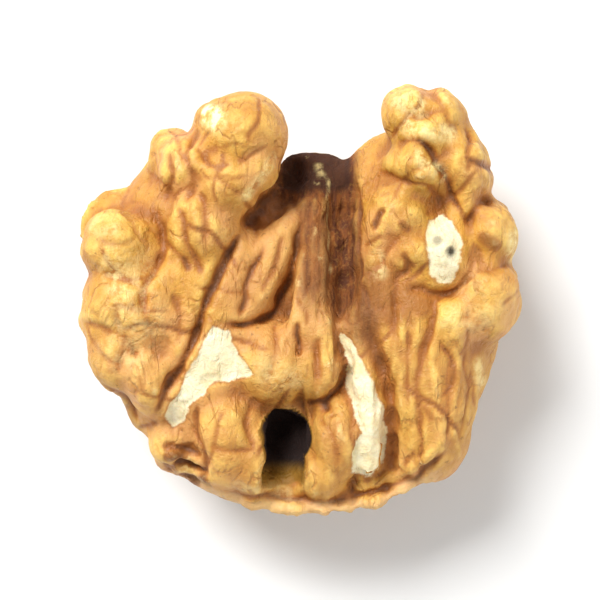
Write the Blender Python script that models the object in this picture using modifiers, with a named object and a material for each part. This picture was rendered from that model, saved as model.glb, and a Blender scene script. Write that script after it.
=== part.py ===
"""One half of a shelled walnut kernel, resting on its rounded outer side with its inner face up.

The kernel is a single grown body. Its swellings are ellipsoids, its ridges and edges are tubes
along curves, and a voxel remesh melts them into one skin. The folds are then pressed into that
skin: the ones of the inner face along curves placed by hand, the ones of the outer side as the
borders of stretched cells.

Frame: +X across the two lobes, +Y towards the notch between them, +Z up from the inner face.
The origin is at the middle of the underside of the kernel's box. Tables are in millimetres.
"""

import math
from typing import NamedTuple

import bmesh
import bpy
import numpy as np
from mathutils import Matrix, Vector, noise
from mathutils.bvhtree import BVHTree

# Driving dimensions, in metres.
MM = 0.001
WIDTH = 31.0 * MM
LENGTH = 30.0 * MM
THICKNESS = 14.5 * MM

# How finely the skin is meshed, and the distance within which the ends of a rod are welded.
VOXEL = 0.45 * MM
TRIANGLES = 9800
WELD = 0.001 * MM

# The folds of the outer side, in millimetres: the size of their cells along each axis, how deep
# the borders of the cells lie, and how far a slow noise bends them. The cells narrow to
# END_CELL_WIDTH between END_START and END_START + END_RUN from the kernel's middle.
CELL_SIZE = Vector((7.4, 3.3, 6.4))
END_CELL_WIDTH = 3.7
END_START = 7.0
END_RUN = 6.0
CELL_BORDER_DEPTH = 1.6
CELL_BORDER_WIDTH = 0.42
BEND_REACH = 2.0
BEND_SCALE = 6.5
FOLD_POWER = 1.6  # above 1, a fold's walls are steepest at its bottom

# The vector noise that bends the cells is shifted by this seed. Left alone, Blender takes the
# clock's time for it, and the folds would lie elsewhere in each build.
NOISE_SEED = 1795148092

# The seam along the middle of the outer side: its half width and its share of the folds' depth.
SEAM_WIDTH = 1.5
SEAM_SHARE = 0.8

# The outer folds fade in where the skin faces down, and from height OUTER_TOP to OUTER_FULL.
FACING_OUT = (-0.35, 0.2)
OUTER_TOP = 11.0
OUTER_FULL = 7.5
SEAM_TOP = 7.0
SEAM_FULL = 4.0

# The lower rim is thin, so RIM_SHARE of the outer folds fades out between these distances from it.
RIM_CLEAR = 2.6
RIM_NEAR = 1.0
RIM_SHARE = 0.85

# A groove of the inner face fades out over this share of its length at each end.
GROOVE_FADE = 0.12


class Lobe(NamedTuple):
    """An ellipsoid: its centre and half sizes in millimetres, and its turn about Z in degrees."""

    centre: tuple
    half_sizes: tuple
    turn: float = 0.0


class Tube(NamedTuple):
    """A round rod along a smooth curve: points as (x, y, z, radius) in millimetres."""

    points: tuple


class Groove(NamedTuple):
    """A fold line seen from above: its (x, y) points, half width and depth in millimetres."""

    points: tuple
    half_width: float
    depth: float


LEFT_LOBES = (
    Lobe((-3.9, 11.0, 9.0), (3.1, 3.0, 4.5)),  # round lobule beside the notch
    Lobe((-5.8, 12.0, 9.2), (1.6, 1.5, 3.0)),
    Lobe((-7.6, 8.9, 8.2), (2.4, 2.4, 4.2)),
    Lobe((-4.8, 8.0, 8.8), (2.7, 2.8, 4.3)),  # its neck
    Lobe((-3.3, 8.8, 8.6), (2.1, 2.2, 4.2)),
    Lobe((-6.6, 5.2, 8.3), (3.1, 3.8, 4.0), -15),
    Lobe((-8.9, 9.4, 6.6), (2.0, 2.6, 3.6)),
    Lobe((-12.3, 3.6, 8.2), (2.9, 2.7, 4.2)),  # side lobe, upper bulge
    Lobe((-11.2, -0.6, 8.0), (4.1, 4.0, 4.6)),  # side lobe, body
    Lobe((-14.0, -1.2, 7.4), (1.5, 1.9, 3.0)),
    Lobe((-12.2, -3.6, 7.7), (2.7, 3.4, 4.3), 18),
    Lobe((-10.4, -5.0, 8.0), (2.3, 3.6, 4.0), 22),  # side lobe, lower end
    Lobe((-7.2, -0.2, 5.8), (6.8, 11.6, 5.8)),  # outer wall below
)
RIGHT_LOBES = (
    Lobe((7.2, 12.4, 8.8), (2.1, 2.3, 4.0)),  # top lobule beside the notch
    Lobe((9.2, 12.0, 8.6), (2.1, 2.5, 4.0)),
    Lobe((8.2, 10.8, 9.2), (2.4, 2.0, 4.0)),
    Lobe((10.5, 9.1, 8.0), (2.4, 4.0, 4.4), 22),  # its outer fold
    Lobe((11.0, 6.4, 7.8), (1.9, 2.4, 4.1)),
    Lobe((12.0, 8.4, 6.8), (1.4, 2.6, 3.6)),
    Lobe((7.7, 8.6, 9.2), (2.4, 2.0, 4.2), -25),  # small round lobule on the neck
    Lobe((6.6, 5.6, 8.6), (2.6, 2.8, 4.0)),
    Lobe((5.2, 4.6, 8.4), (1.3, 2.6, 3.6)),
    Lobe((7.4, 3.2, 8.6), (2.4, 2.4, 4.0)),
    Lobe((9.5, 3.1, 8.5), (2.3, 3.1, 4.2)),  # crest in the middle
    Lobe((12.6, 4.4, 7.8), (2.3, 2.6, 4.3)),  # outer bulges
    Lobe((12.3, 0.2, 7.8), (2.9, 3.5, 4.5)),
    Lobe((10.2, -1.2, 8.0), (2.4, 2.8, 4.1)),
    Lobe((8.5, -5.2, 7.4), (3.5, 7.4, 4.0), 5),  # lower body
    Lobe((7.2, 0.4, 5.8), (6.8, 11.8, 5.8)),  # outer wall below
)
MIDDLE_LOBES = (
    Lobe((-0.4, -3.4, 5.6), (6.6, 9.2, 3.2)),  # floor that joins the two sides
    Lobe((0.7, 6.0, 4.8), (4.6, 4.5, 3.2)),
    Lobe((1.0, -10.6, 6.2), (7.6, 3.2, 2.6)),
    Lobe((-3.0, 1.9, 8.6), (2.0, 5.0, 1.9), -32),  # leaf shaped flap
    Lobe((-0.8, 3.0, 7.6), (1.6, 4.0, 1.9), -10),
    Lobe((-2.0, -4.2, 8.4), (3.4, 2.9, 3.1)),  # middle body
    Lobe((1.2, -4.4, 8.4), (1.7, 2.9, 2.9)),
    Lobe((-6.2, -4.6, 8.2), (2.0, 3.9, 2.4), -35),
    Lobe((-5.2, -9.0, 7.8), (2.9, 4.2, 3.4), 10),  # body left of the pit
    Lobe((-3.2, -10.6, 7.6), (1.7, 3.2, 3.1)),
    Lobe((2.5, -9.2, 7.8), (2.0, 3.2, 3.4)),  # body right of the pit
    Lobe((4.4, -8.2, 7.4), (1.5, 4.2, 3.2)),
    Lobe((1.4, -11.8, 7.4), (1.9, 1.9, 3.0)),
    Lobe((-8.8, -9.6, 7.4), (1.9, 2.4, 2.4)),  # folded corner
)
TUBES = (
    # the folded edge above the side lobe
    Tube(((-15.0, 3.8, 6.4, 0.8), (-14.3, 6.2, 7.0, 1.0), (-12.6, 7.2, 7.2, 1.0), (-10.6, 6.4, 7.4, 1.0))),
    # the long ridges of the right lobe's lower body
    Tube(((6.7, 0.8, 10.8, 0.8), (6.7, -3.0, 10.7, 0.8), (7.0, -7.6, 10.1, 0.8), (7.2, -11.4, 8.6, 0.7))),
    Tube(((8.6, -2.6, 10.9, 0.7), (9.0, -6.0, 10.6, 0.7), (9.0, -10.0, 9.4, 0.7))),
    Tube(((10.2, -3.0, 10.3, 0.9), (10.5, -6.4, 9.8, 0.9), (10.0, -9.4, 8.8, 0.8))),
    Tube(((11.4, -3.6, 8.8, 1.0), (11.6, -6.6, 8.6, 0.9), (10.9, -9.2, 8.2, 0.7))),
    # the ribs of the flap
    Tube(((-1.2, 5.2, 9.0, 0.4), (-3.6, 3.2, 9.9, 0.6), (-5.0, 0.6, 9.9, 0.7), (-5.4, -1.2, 9.6, 0.6))),
    Tube(((-0.6, 5.2, 9.0, 0.4), (-1.8, 2.6, 10.0, 0.6), (-2.9, -0.2, 10.1, 0.6), (-3.6, -1.2, 9.6, 0.5))),
    # the midrib
    Tube(((0.9, 9.8, 5.4, 0.8), (0.9, 7.0, 8.2, 0.8), (0.7, 3.6, 9.6, 0.8), (-0.1, -2.4, 10.2, 1.0))),
    Tube(((1.6, 9.8, 5.6, 0.6), (1.6, 7.0, 8.4, 0.7), (1.5, 3.0, 9.8, 0.8), (1.2, -3.0, 10.2, 1.0))),
    # the broken edge right of the pit
    Tube((
        (2.5, -1.9, 9.8, 0.4), (3.4, -3.6, 10.2, 0.6), (4.2, -5.8, 10.4, 0.9),
        (4.9, -8.4, 10.2, 1.0), (4.5, -11.6, 9.2, 0.9),
    )),
    # the lower edge and the wall below it
    Tube((
        (-8.8, -11.0, 7.0, 1.0), (-5.0, -13.0, 7.0, 1.2), (0.8, -13.6, 7.0, 1.2),
        (6.0, -12.9, 7.0, 1.2), (10.2, -10.2, 7.0, 1.0),
    )),
    Tube((
        (-8.0, -10.0, 5.6, 1.8), (-4.8, -11.9, 5.4, 2.1), (0.8, -12.3, 5.4, 2.2),
        (5.8, -11.7, 5.4, 2.1), (9.2, -9.4, 5.6, 1.8),
    )),
)
RIM = Tube((
    (-9.0, -11.4, 7.6, 0.5), (-5.4, -13.7, 8.0, 0.5), (1.0, -14.6, 8.1, 0.55),
    (6.8, -13.6, 8.1, 0.5), (10.8, -10.2, 7.8, 0.5),
))
PIT = (
    Tube((
        (-1.15, -9.5, 14.0, 1.7), (-1.15, -9.4, 10.4, 1.7), (-1.15, -9.2, 8.0, 1.6),
        (-1.15, -8.9, 6.6, 1.35), (-1.15, -8.6, 5.8, 0.9),
    )),
    # the slope that leads into it
    Tube((
        (-1.3, -13.4, 11.4, 1.3), (-1.3, -12.0, 9.8, 1.35), (-1.25, -10.6, 8.2, 1.4), (-1.2, -9.2, 6.8, 1.2),
    )),
)

GROOVES = (
    # the crevices between the lobes
    Groove(((0.6, 10.4), (-0.8, 8.8), (-2.4, 6.6), (-4.2, 4.6)), 0.8, 1.5),
    Groove(((-3.8, 4.8), (-5.0, 3.0), (-5.9, 0.6), (-7.1, -2.4), (-8.7, -5.4), (-10.2, -8.2)), 0.45, 1.0),
    Groove(((2.9, 10.4), (2.8, 6.0), (2.7, 2.0), (2.5, -1.8)), 0.85, 1.6),
    Groove(((4.0, -0.6), (4.8, -3.0), (5.5, -5.2), (6.2, -7.6), (6.3, -10.0), (5.8, -12.2)), 0.5, 0.7),
    Groove(((2.0, -1.6), (2.7, -3.4), (3.1, -4.4), (2.7, -5.6), (1.6, -6.6), (0.4, -7.4)), 0.4, 0.9),
    # the folds of the right lobe
    Groove(((6.2, 10.3), (7.6, 10.3), (8.4, 9.7), (9.2, 8.6), (10.5, 6.0), (11.1, 4.6)), 0.4, 0.7),
    Groove(((6.4, 3.2), (7.0, 2.0), (6.3, 1.2), (6.2, -0.6), (6.1, -3.4)), 0.4, 0.5),
    Groove(((8.8, 1.0), (8.8, -1.4), (8.3, -3.0), (7.8, -5.0), (7.9, -8.0), (8.1, -11.2)), 0.4, 0.4),
    Groove(((11.4, 2.8), (10.9, 1.2), (10.0, 0.4), (8.8, 0.4), (7.6, 0.9), (6.6, 0.4)), 0.4, 0.6),
    Groove(((11.4, 1.8), (13.6, 2.2), (15.4, 2.0)), 0.4, 0.5),
    Groove(((13.6, 6.9), (12.0, 6.4), (10.8, 4.8)), 0.45, 0.7),
    # the folds of the left lobes
    Groove(((-10.4, 7.0), (-9.6, 5.2), (-9.1, 3.8), (-9.6, 2.4), (-10.4, 1.0), (-9.7, -3.4)), 0.4, 0.6),
    Groove(((-7.0, 11.4), (-7.4, 9.4), (-7.3, 7.6), (-7.6, 6.0)), 0.4, 0.5),
    Groove(((-7.0, 10.2), (-5.8, 8.6), (-3.6, 9.0)), 0.35, 0.45),
    Groove(((-14.8, -1.4), (-12.2, -2.2), (-10.8, -4.2)), 0.4, 0.4),
    Groove(((-13.8, -5.4), (-11.8, -6.6), (-11.2, -8.2)), 0.4, 0.5),
    # the flap and the ribs of the middle
    Groove(((0.1, 6.8), (-0.2, 4.2), (-0.8, 2.0), (-1.4, 0.2), (-2.4, -1.1), (-4.0, -1.6)), 0.4, 0.8),
    Groove(((-2.3, 4.0), (-3.4, 1.6), (-3.9, 0.0), (-4.4, -1.3)), 0.35, 0.45),
    # the lower lobes and the folded corner
    Groove(((-7.2, -6.8), (-7.1, -8.6), (-6.6, -9.8), (-6.4, -12.0)), 0.35, 0.5),
    Groove(((-9.2, -10.0), (-7.0, -11.0)), 0.35, 0.5),
    Groove(((-8.6, -12.3), (-6.4, -11.7)), 0.35, 0.5),
)


def clear_scene():
    """Removes what the scene holds."""
    for thing in list(bpy.data.objects):
        bpy.data.objects.remove(thing)


def new_collection(name):
    """A collection of the scene."""
    collection = bpy.data.collections.new(name)
    bpy.context.scene.collection.children.link(collection)
    return collection


def mesh_object(name, mesh, collection):
    """An object that shows a mesh."""
    thing = bpy.data.objects.new(name, mesh)
    collection.objects.link(thing)
    return thing


def evaluated_mesh(thing):
    """The object's mesh with its modifiers applied."""
    seen = thing.evaluated_get(bpy.context.evaluated_depsgraph_get())
    return bpy.data.meshes.new_from_object(seen)


def tube_mesh(tube, collection):
    """A closed mesh of a rod that follows a smooth curve and changes its thickness along it."""
    curve = bpy.data.curves.new("rod", "CURVE")
    curve.dimensions = "3D"
    curve.bevel_depth = MM
    curve.bevel_resolution = 4
    curve.resolution_u = 8
    curve.use_fill_caps = True
    spline = curve.splines.new("NURBS")
    spline.points.add(len(tube.points) - 1)
    for point, (x, y, z, radius) in zip(spline.points, tube.points):
        point.co = (x * MM, y * MM, z * MM, 1.0)
        point.radius = radius
    spline.order_u = 3
    spline.use_endpoint_u = True
    rod = bpy.data.objects.new("rod", curve)
    collection.objects.link(rod)
    mesh = evaluated_mesh(rod)
    bpy.data.objects.remove(rod)
    return mesh


def add_lobe(shape, lobe):
    """Adds an ellipsoid to a mesh being edited."""
    place = Matrix.LocRotScale(
        Vector(lobe.centre) * MM,
        Matrix.Rotation(math.radians(lobe.turn), 3, "Z"),
        Vector(lobe.half_sizes) * MM,
    )
    bmesh.ops.create_uvsphere(shape, u_segments=32, v_segments=20, radius=1.0, matrix=place)


def add_tube(shape, tube, collection):
    """Adds a rod to a mesh being edited, with its caps welded on."""
    mesh = tube_mesh(tube, collection)
    shape.from_mesh(mesh)
    bpy.data.meshes.remove(mesh)
    bmesh.ops.remove_doubles(shape, verts=shape.verts, dist=WELD)


def add_remesh(thing, voxel):
    """Melts the overlapping bodies of an object into one skin."""
    merge = thing.modifiers.new("merge", "REMESH")
    merge.mode = "VOXEL"
    merge.voxel_size = voxel


def add_smooth(thing, factor, rounds):
    """Evens out a skin."""
    soften = thing.modifiers.new("soften", "SMOOTH")
    soften.factor = factor
    soften.iterations = rounds


def take_modifiers(thing):
    """Replaces the object's mesh with the one its modifiers make."""
    old = thing.data
    thing.data = evaluated_mesh(thing)
    thing.modifiers.clear()
    bpy.data.meshes.remove(old)


def swollen_body(collection):
    """The lobes and rods as one skin."""
    shape = bmesh.new()
    for lobe in LEFT_LOBES + RIGHT_LOBES + MIDDLE_LOBES:
        add_lobe(shape, lobe)
    for tube in (*TUBES, RIM):
        add_tube(shape, tube, collection)
    mesh = bpy.data.meshes.new("kernel_half")
    shape.to_mesh(mesh)
    shape.free()
    body = mesh_object("kernel_half", mesh, collection)
    add_remesh(body, VOXEL)
    add_smooth(body, 0.5, 2)
    take_modifiers(body)
    return body


def sink_pit(body, cutters):
    """Cuts the blind pit between the lower bodies, and the slope that leads into it."""
    for tube in PIT:
        hollow = bmesh.new()
        add_tube(hollow, tube, cutters)
        cutter = mesh_object("pit", bpy.data.meshes.new("pit"), cutters)
        hollow.to_mesh(cutter.data)
        hollow.free()
        cutter.hide_render = True
        cutter.display_type = "WIRE"
        cut = body.modifiers.new("pit", "BOOLEAN")
        cut.operation = "DIFFERENCE"
        cut.object = cutter
    add_remesh(body, VOXEL)
    add_smooth(body, 0.5, 1)
    take_modifiers(body)


def read_points(mesh):
    """The vertices and their normals, as arrays in millimetres."""
    points = np.empty(len(mesh.vertices) * 3)
    mesh.vertices.foreach_get("co", points)
    normals = np.empty(len(mesh.vertices) * 3)
    mesh.vertex_normals.foreach_get("vector", normals)
    return points.reshape(-1, 3) / MM, normals.reshape(-1, 3)


def write_points(mesh, points):
    """Moves the vertices to points given in millimetres."""
    mesh.vertices.foreach_set("co", (points * MM).ravel())
    mesh.update()


def smooth_step(values, low, high):
    """0 at low and below, 1 at high and above, and a soft S between."""
    share = np.clip((values - low) / (high - low), 0.0, 1.0)
    return share * share * (3.0 - 2.0 * share)


def smooth_path(points, steps=6):
    """Points along a smooth curve through the given ones."""
    ends = [points[0], *points, points[-1]]
    corners = [np.array(point, float) for point in ends]
    path = []
    for before, start, stop, after in zip(corners, corners[1:], corners[2:], corners[3:]):
        for step in range(steps):
            t = step / steps
            bend = 2 * before - 5 * start + 4 * stop - after
            twist = 3 * start - before - 3 * stop + after
            path.append(0.5 * (2 * start + (stop - before) * t + bend * t**2 + twist * t**3))
    path.append(corners[-1])
    return path


def drop_path(path, surface):
    """The path laid on the skin from above, in millimetres."""
    laid = []
    for x, y in path:
        hit = surface.ray_cast(Vector((x * MM, y * MM, 0.1)), Vector((0, 0, -1)))[0]
        if hit is not None:
            laid.append(np.array(hit) / MM)
    return laid


def path_reach(points, path):
    """Each point's distance from the path, and how far along it the nearest place is, 0 to 1."""
    nearest = np.full(len(points), np.inf)
    along = np.zeros(len(points))
    count = len(path) - 1
    for index, (start, stop) in enumerate(zip(path, path[1:])):
        run = stop - start
        share = np.clip((points - start) @ run / max(run @ run, 1e-9), 0.0, 1.0)
        gap = np.linalg.norm(points - start - share[:, None] * run, axis=1)
        closer = gap < nearest
        nearest[closer] = gap[closer]
        along[closer] = (index + share[closer]) / count
    return nearest, along


def press_grooves(body):
    """Presses the fold lines of the inner face into the skin."""
    mesh = body.data
    surface = BVHTree.FromObject(body, bpy.context.evaluated_depsgraph_get())
    points, normals = read_points(mesh)
    depth = np.zeros(len(points))
    for groove in GROOVES:
        path = drop_path(smooth_path(groove.points), surface)
        gap, along = path_reach(points, path)
        profile = np.clip(1.0 - gap / (2.0 * groove.half_width), 0.0, 1.0) ** FOLD_POWER
        fade = smooth_step(np.minimum(along, 1.0 - along), 0.0, GROOVE_FADE)
        depth = np.maximum(depth, groove.depth * profile * fade)
    write_points(mesh, points - depth[:, None] * normals)


def cell_border(point):
    """How near a point is to the border of its cell: 0 on the border, 1 well inside."""
    place = Vector(point)
    bent = place + noise.noise_vector(place / BEND_SCALE) * BEND_REACH
    end = min(max((abs(bent.y) - END_START) / END_RUN, 0.0), 1.0)
    width = CELL_SIZE.x + (END_CELL_WIDTH - CELL_SIZE.x) * end
    cell = Vector((bent.x / width, bent.y / CELL_SIZE.y, bent.z / CELL_SIZE.z))
    first, second = noise.voronoi(cell)[0][:2]
    return min(1.0, (second - first) / CELL_BORDER_WIDTH)


def fold_outside(body):
    """Presses the folds of the outer side along the borders of its cells, and its middle seam."""
    mesh = body.data
    points, normals = read_points(mesh)
    low = smooth_step(-points[:, 2], -OUTER_TOP, -OUTER_FULL)
    rim_gap, _ = path_reach(points, smooth_path([point[:3] for point in RIM.points]))
    rim = 1.0 - RIM_SHARE * smooth_step(-rim_gap, -RIM_CLEAR, -RIM_NEAR)
    outer = smooth_step(-normals[:, 2], *FACING_OUT) * low * rim
    border = np.array([cell_border(point) for point in points])
    hollow = (1.0 - border) ** FOLD_POWER
    seam = np.exp(-((points[:, 0] / SEAM_WIDTH) ** 2)) * smooth_step(-points[:, 2], -SEAM_TOP, -SEAM_FULL)
    depth = CELL_BORDER_DEPTH * np.maximum(hollow, SEAM_SHARE * seam) * outer
    write_points(mesh, points - depth[:, None] * normals)


def thin_out(body):
    """Evens the skin and brings it down to its number of triangles."""
    add_remesh(body, VOXEL)
    add_smooth(body, 0.4, 1)
    take_modifiers(body)
    count = sum(len(face.vertices) - 2 for face in body.data.polygons)
    collapse = body.modifiers.new("collapse", "DECIMATE")
    collapse.ratio = min(1.0, TRIANGLES / count)
    collapse.use_collapse_triangulate = True
    take_modifiers(body)


def fit_box(body):
    """Brings the kernel to its driving dimensions, with its box's lower middle at the origin."""
    points, _ = read_points(body.data)
    low = points.min(axis=0)
    high = points.max(axis=0)
    size = np.array((WIDTH, LENGTH, THICKNESS)) / MM
    middle = (low + high) / 2.0
    middle[2] = low[2]
    write_points(body.data, (points - middle) * size / (high - low))


def dress(body):
    """Gives the kernel its golden brown skin."""
    skin = bpy.data.materials.new("walnut_skin")
    skin.use_nodes = True
    shader = skin.node_tree.nodes["Principled BSDF"]
    shader.inputs["Base Color"].default_value = (0.62, 0.33, 0.08, 1.0)
    shader.inputs["Roughness"].default_value = 0.5
    shader.inputs["Metallic"].default_value = 0.0
    body.data.materials.clear()
    body.data.materials.append(skin)
    body.data.shade_smooth()


def main():
    """Builds the kernel."""
    noise.seed_set(NOISE_SEED)
    clear_scene()
    kernel = new_collection("walnut_kernel")
    cutters = new_collection("cutters")
    body = swollen_body(kernel)
    sink_pit(body, cutters)
    fold_outside(body)
    press_grooves(body)
    thin_out(body)
    fit_box(body)
    dress(body)


main()
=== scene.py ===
"""Looks of a shelled walnut kernel half that lies on its rounded outer side.

The kernel is modelled at full size from round swellings and rods, melted into one skin, and then
worked like clay: folds, cracks and broken patches are pressed in along listed curves. The working
tables are in millimetres, with X and Y from the middle of the kernel and Z from the floor.
"""

import logging
import math
from dataclasses import dataclass, field
from enum import Enum

import bpy
import numpy as np
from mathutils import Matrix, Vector, noise
from mathutils.bvhtree import BVHTree


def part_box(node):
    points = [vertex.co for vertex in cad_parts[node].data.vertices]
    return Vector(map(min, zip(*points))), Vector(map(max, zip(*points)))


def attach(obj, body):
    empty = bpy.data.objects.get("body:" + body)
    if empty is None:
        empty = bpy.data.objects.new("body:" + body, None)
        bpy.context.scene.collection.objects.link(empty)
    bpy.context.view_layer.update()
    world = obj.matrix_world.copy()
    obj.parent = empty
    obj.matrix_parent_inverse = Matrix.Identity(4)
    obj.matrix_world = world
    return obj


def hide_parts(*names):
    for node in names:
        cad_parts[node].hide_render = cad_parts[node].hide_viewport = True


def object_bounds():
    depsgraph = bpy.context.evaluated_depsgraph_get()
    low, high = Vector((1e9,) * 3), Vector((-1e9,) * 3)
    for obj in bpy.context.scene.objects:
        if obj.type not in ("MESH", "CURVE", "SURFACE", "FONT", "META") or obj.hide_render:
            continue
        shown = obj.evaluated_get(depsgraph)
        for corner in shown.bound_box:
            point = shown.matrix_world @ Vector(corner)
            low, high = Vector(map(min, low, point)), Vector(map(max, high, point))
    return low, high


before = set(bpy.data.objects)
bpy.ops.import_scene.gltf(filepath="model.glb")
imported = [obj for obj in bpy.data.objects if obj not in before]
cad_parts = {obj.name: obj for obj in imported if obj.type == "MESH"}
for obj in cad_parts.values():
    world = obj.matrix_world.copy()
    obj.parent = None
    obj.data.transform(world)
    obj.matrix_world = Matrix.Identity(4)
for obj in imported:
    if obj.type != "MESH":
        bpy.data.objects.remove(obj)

CAD_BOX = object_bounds()
LOG = logging.getLogger("walnut")
MM = 0.001
NODE = "kernel_half"

# The vector noise is shifted by this seed. Left alone, Blender takes the clock's time for it, and
# the folds would lie elsewhere in each run.
NOISE_SEED = 11

# The fine veins, in millimetres: how long their steps are, how near another one they stop, how far
# out they start, and the turn from one start to the next, which spreads them evenly.
VEIN_STEP = 0.75
VEIN_GAP = 1.0
VEIN_REACH = (13.0, 12.5)
VEIN_TURN = math.pi * (3.0 - math.sqrt(5.0))
VEIN_HALF_WIDTH = 0.12
VEIN_DEPTH = 0.09
VEIN_STAIN = 0.42
VEIN_STAIN_SPREAD = 0.5

Path = tuple[tuple[float, ...], ...]
Colour = tuple[float, float, float]
Socket = bpy.types.NodeSocket


class Face(Enum):
    """The two sides of the kernel, by the way their strokes are laid on."""

    INNER = -1.0
    OUTER = 1.0


@dataclass(frozen=True)
class Swelling:
    """An ellipsoid: centre and half sizes in millimetres, turn about Z in degrees."""

    centre: tuple[float, float, float]
    half_sizes: tuple[float, float, float]
    turn: float = 0.0


@dataclass(frozen=True)
class Rod:
    """A round rod along a smooth curve: points as (x, y, z, radius) in millimetres."""

    points: Path


@dataclass(frozen=True)
class Stroke:
    """A line worked into the skin: its (x, y) points, half width and depth in millimetres.

    A negative depth raises a ridge. Stain says how dark the line is, from 0 to 1.
    """

    points: Path
    half_width: float
    depth: float
    stain: float = 0.5
    face: Face = Face.INNER


@dataclass(frozen=True)
class Patch:
    """A place where the skin is broken: its (x, y) outline in millimetres, seen from above."""

    outline: Path
    depth: float = 0.18


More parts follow.
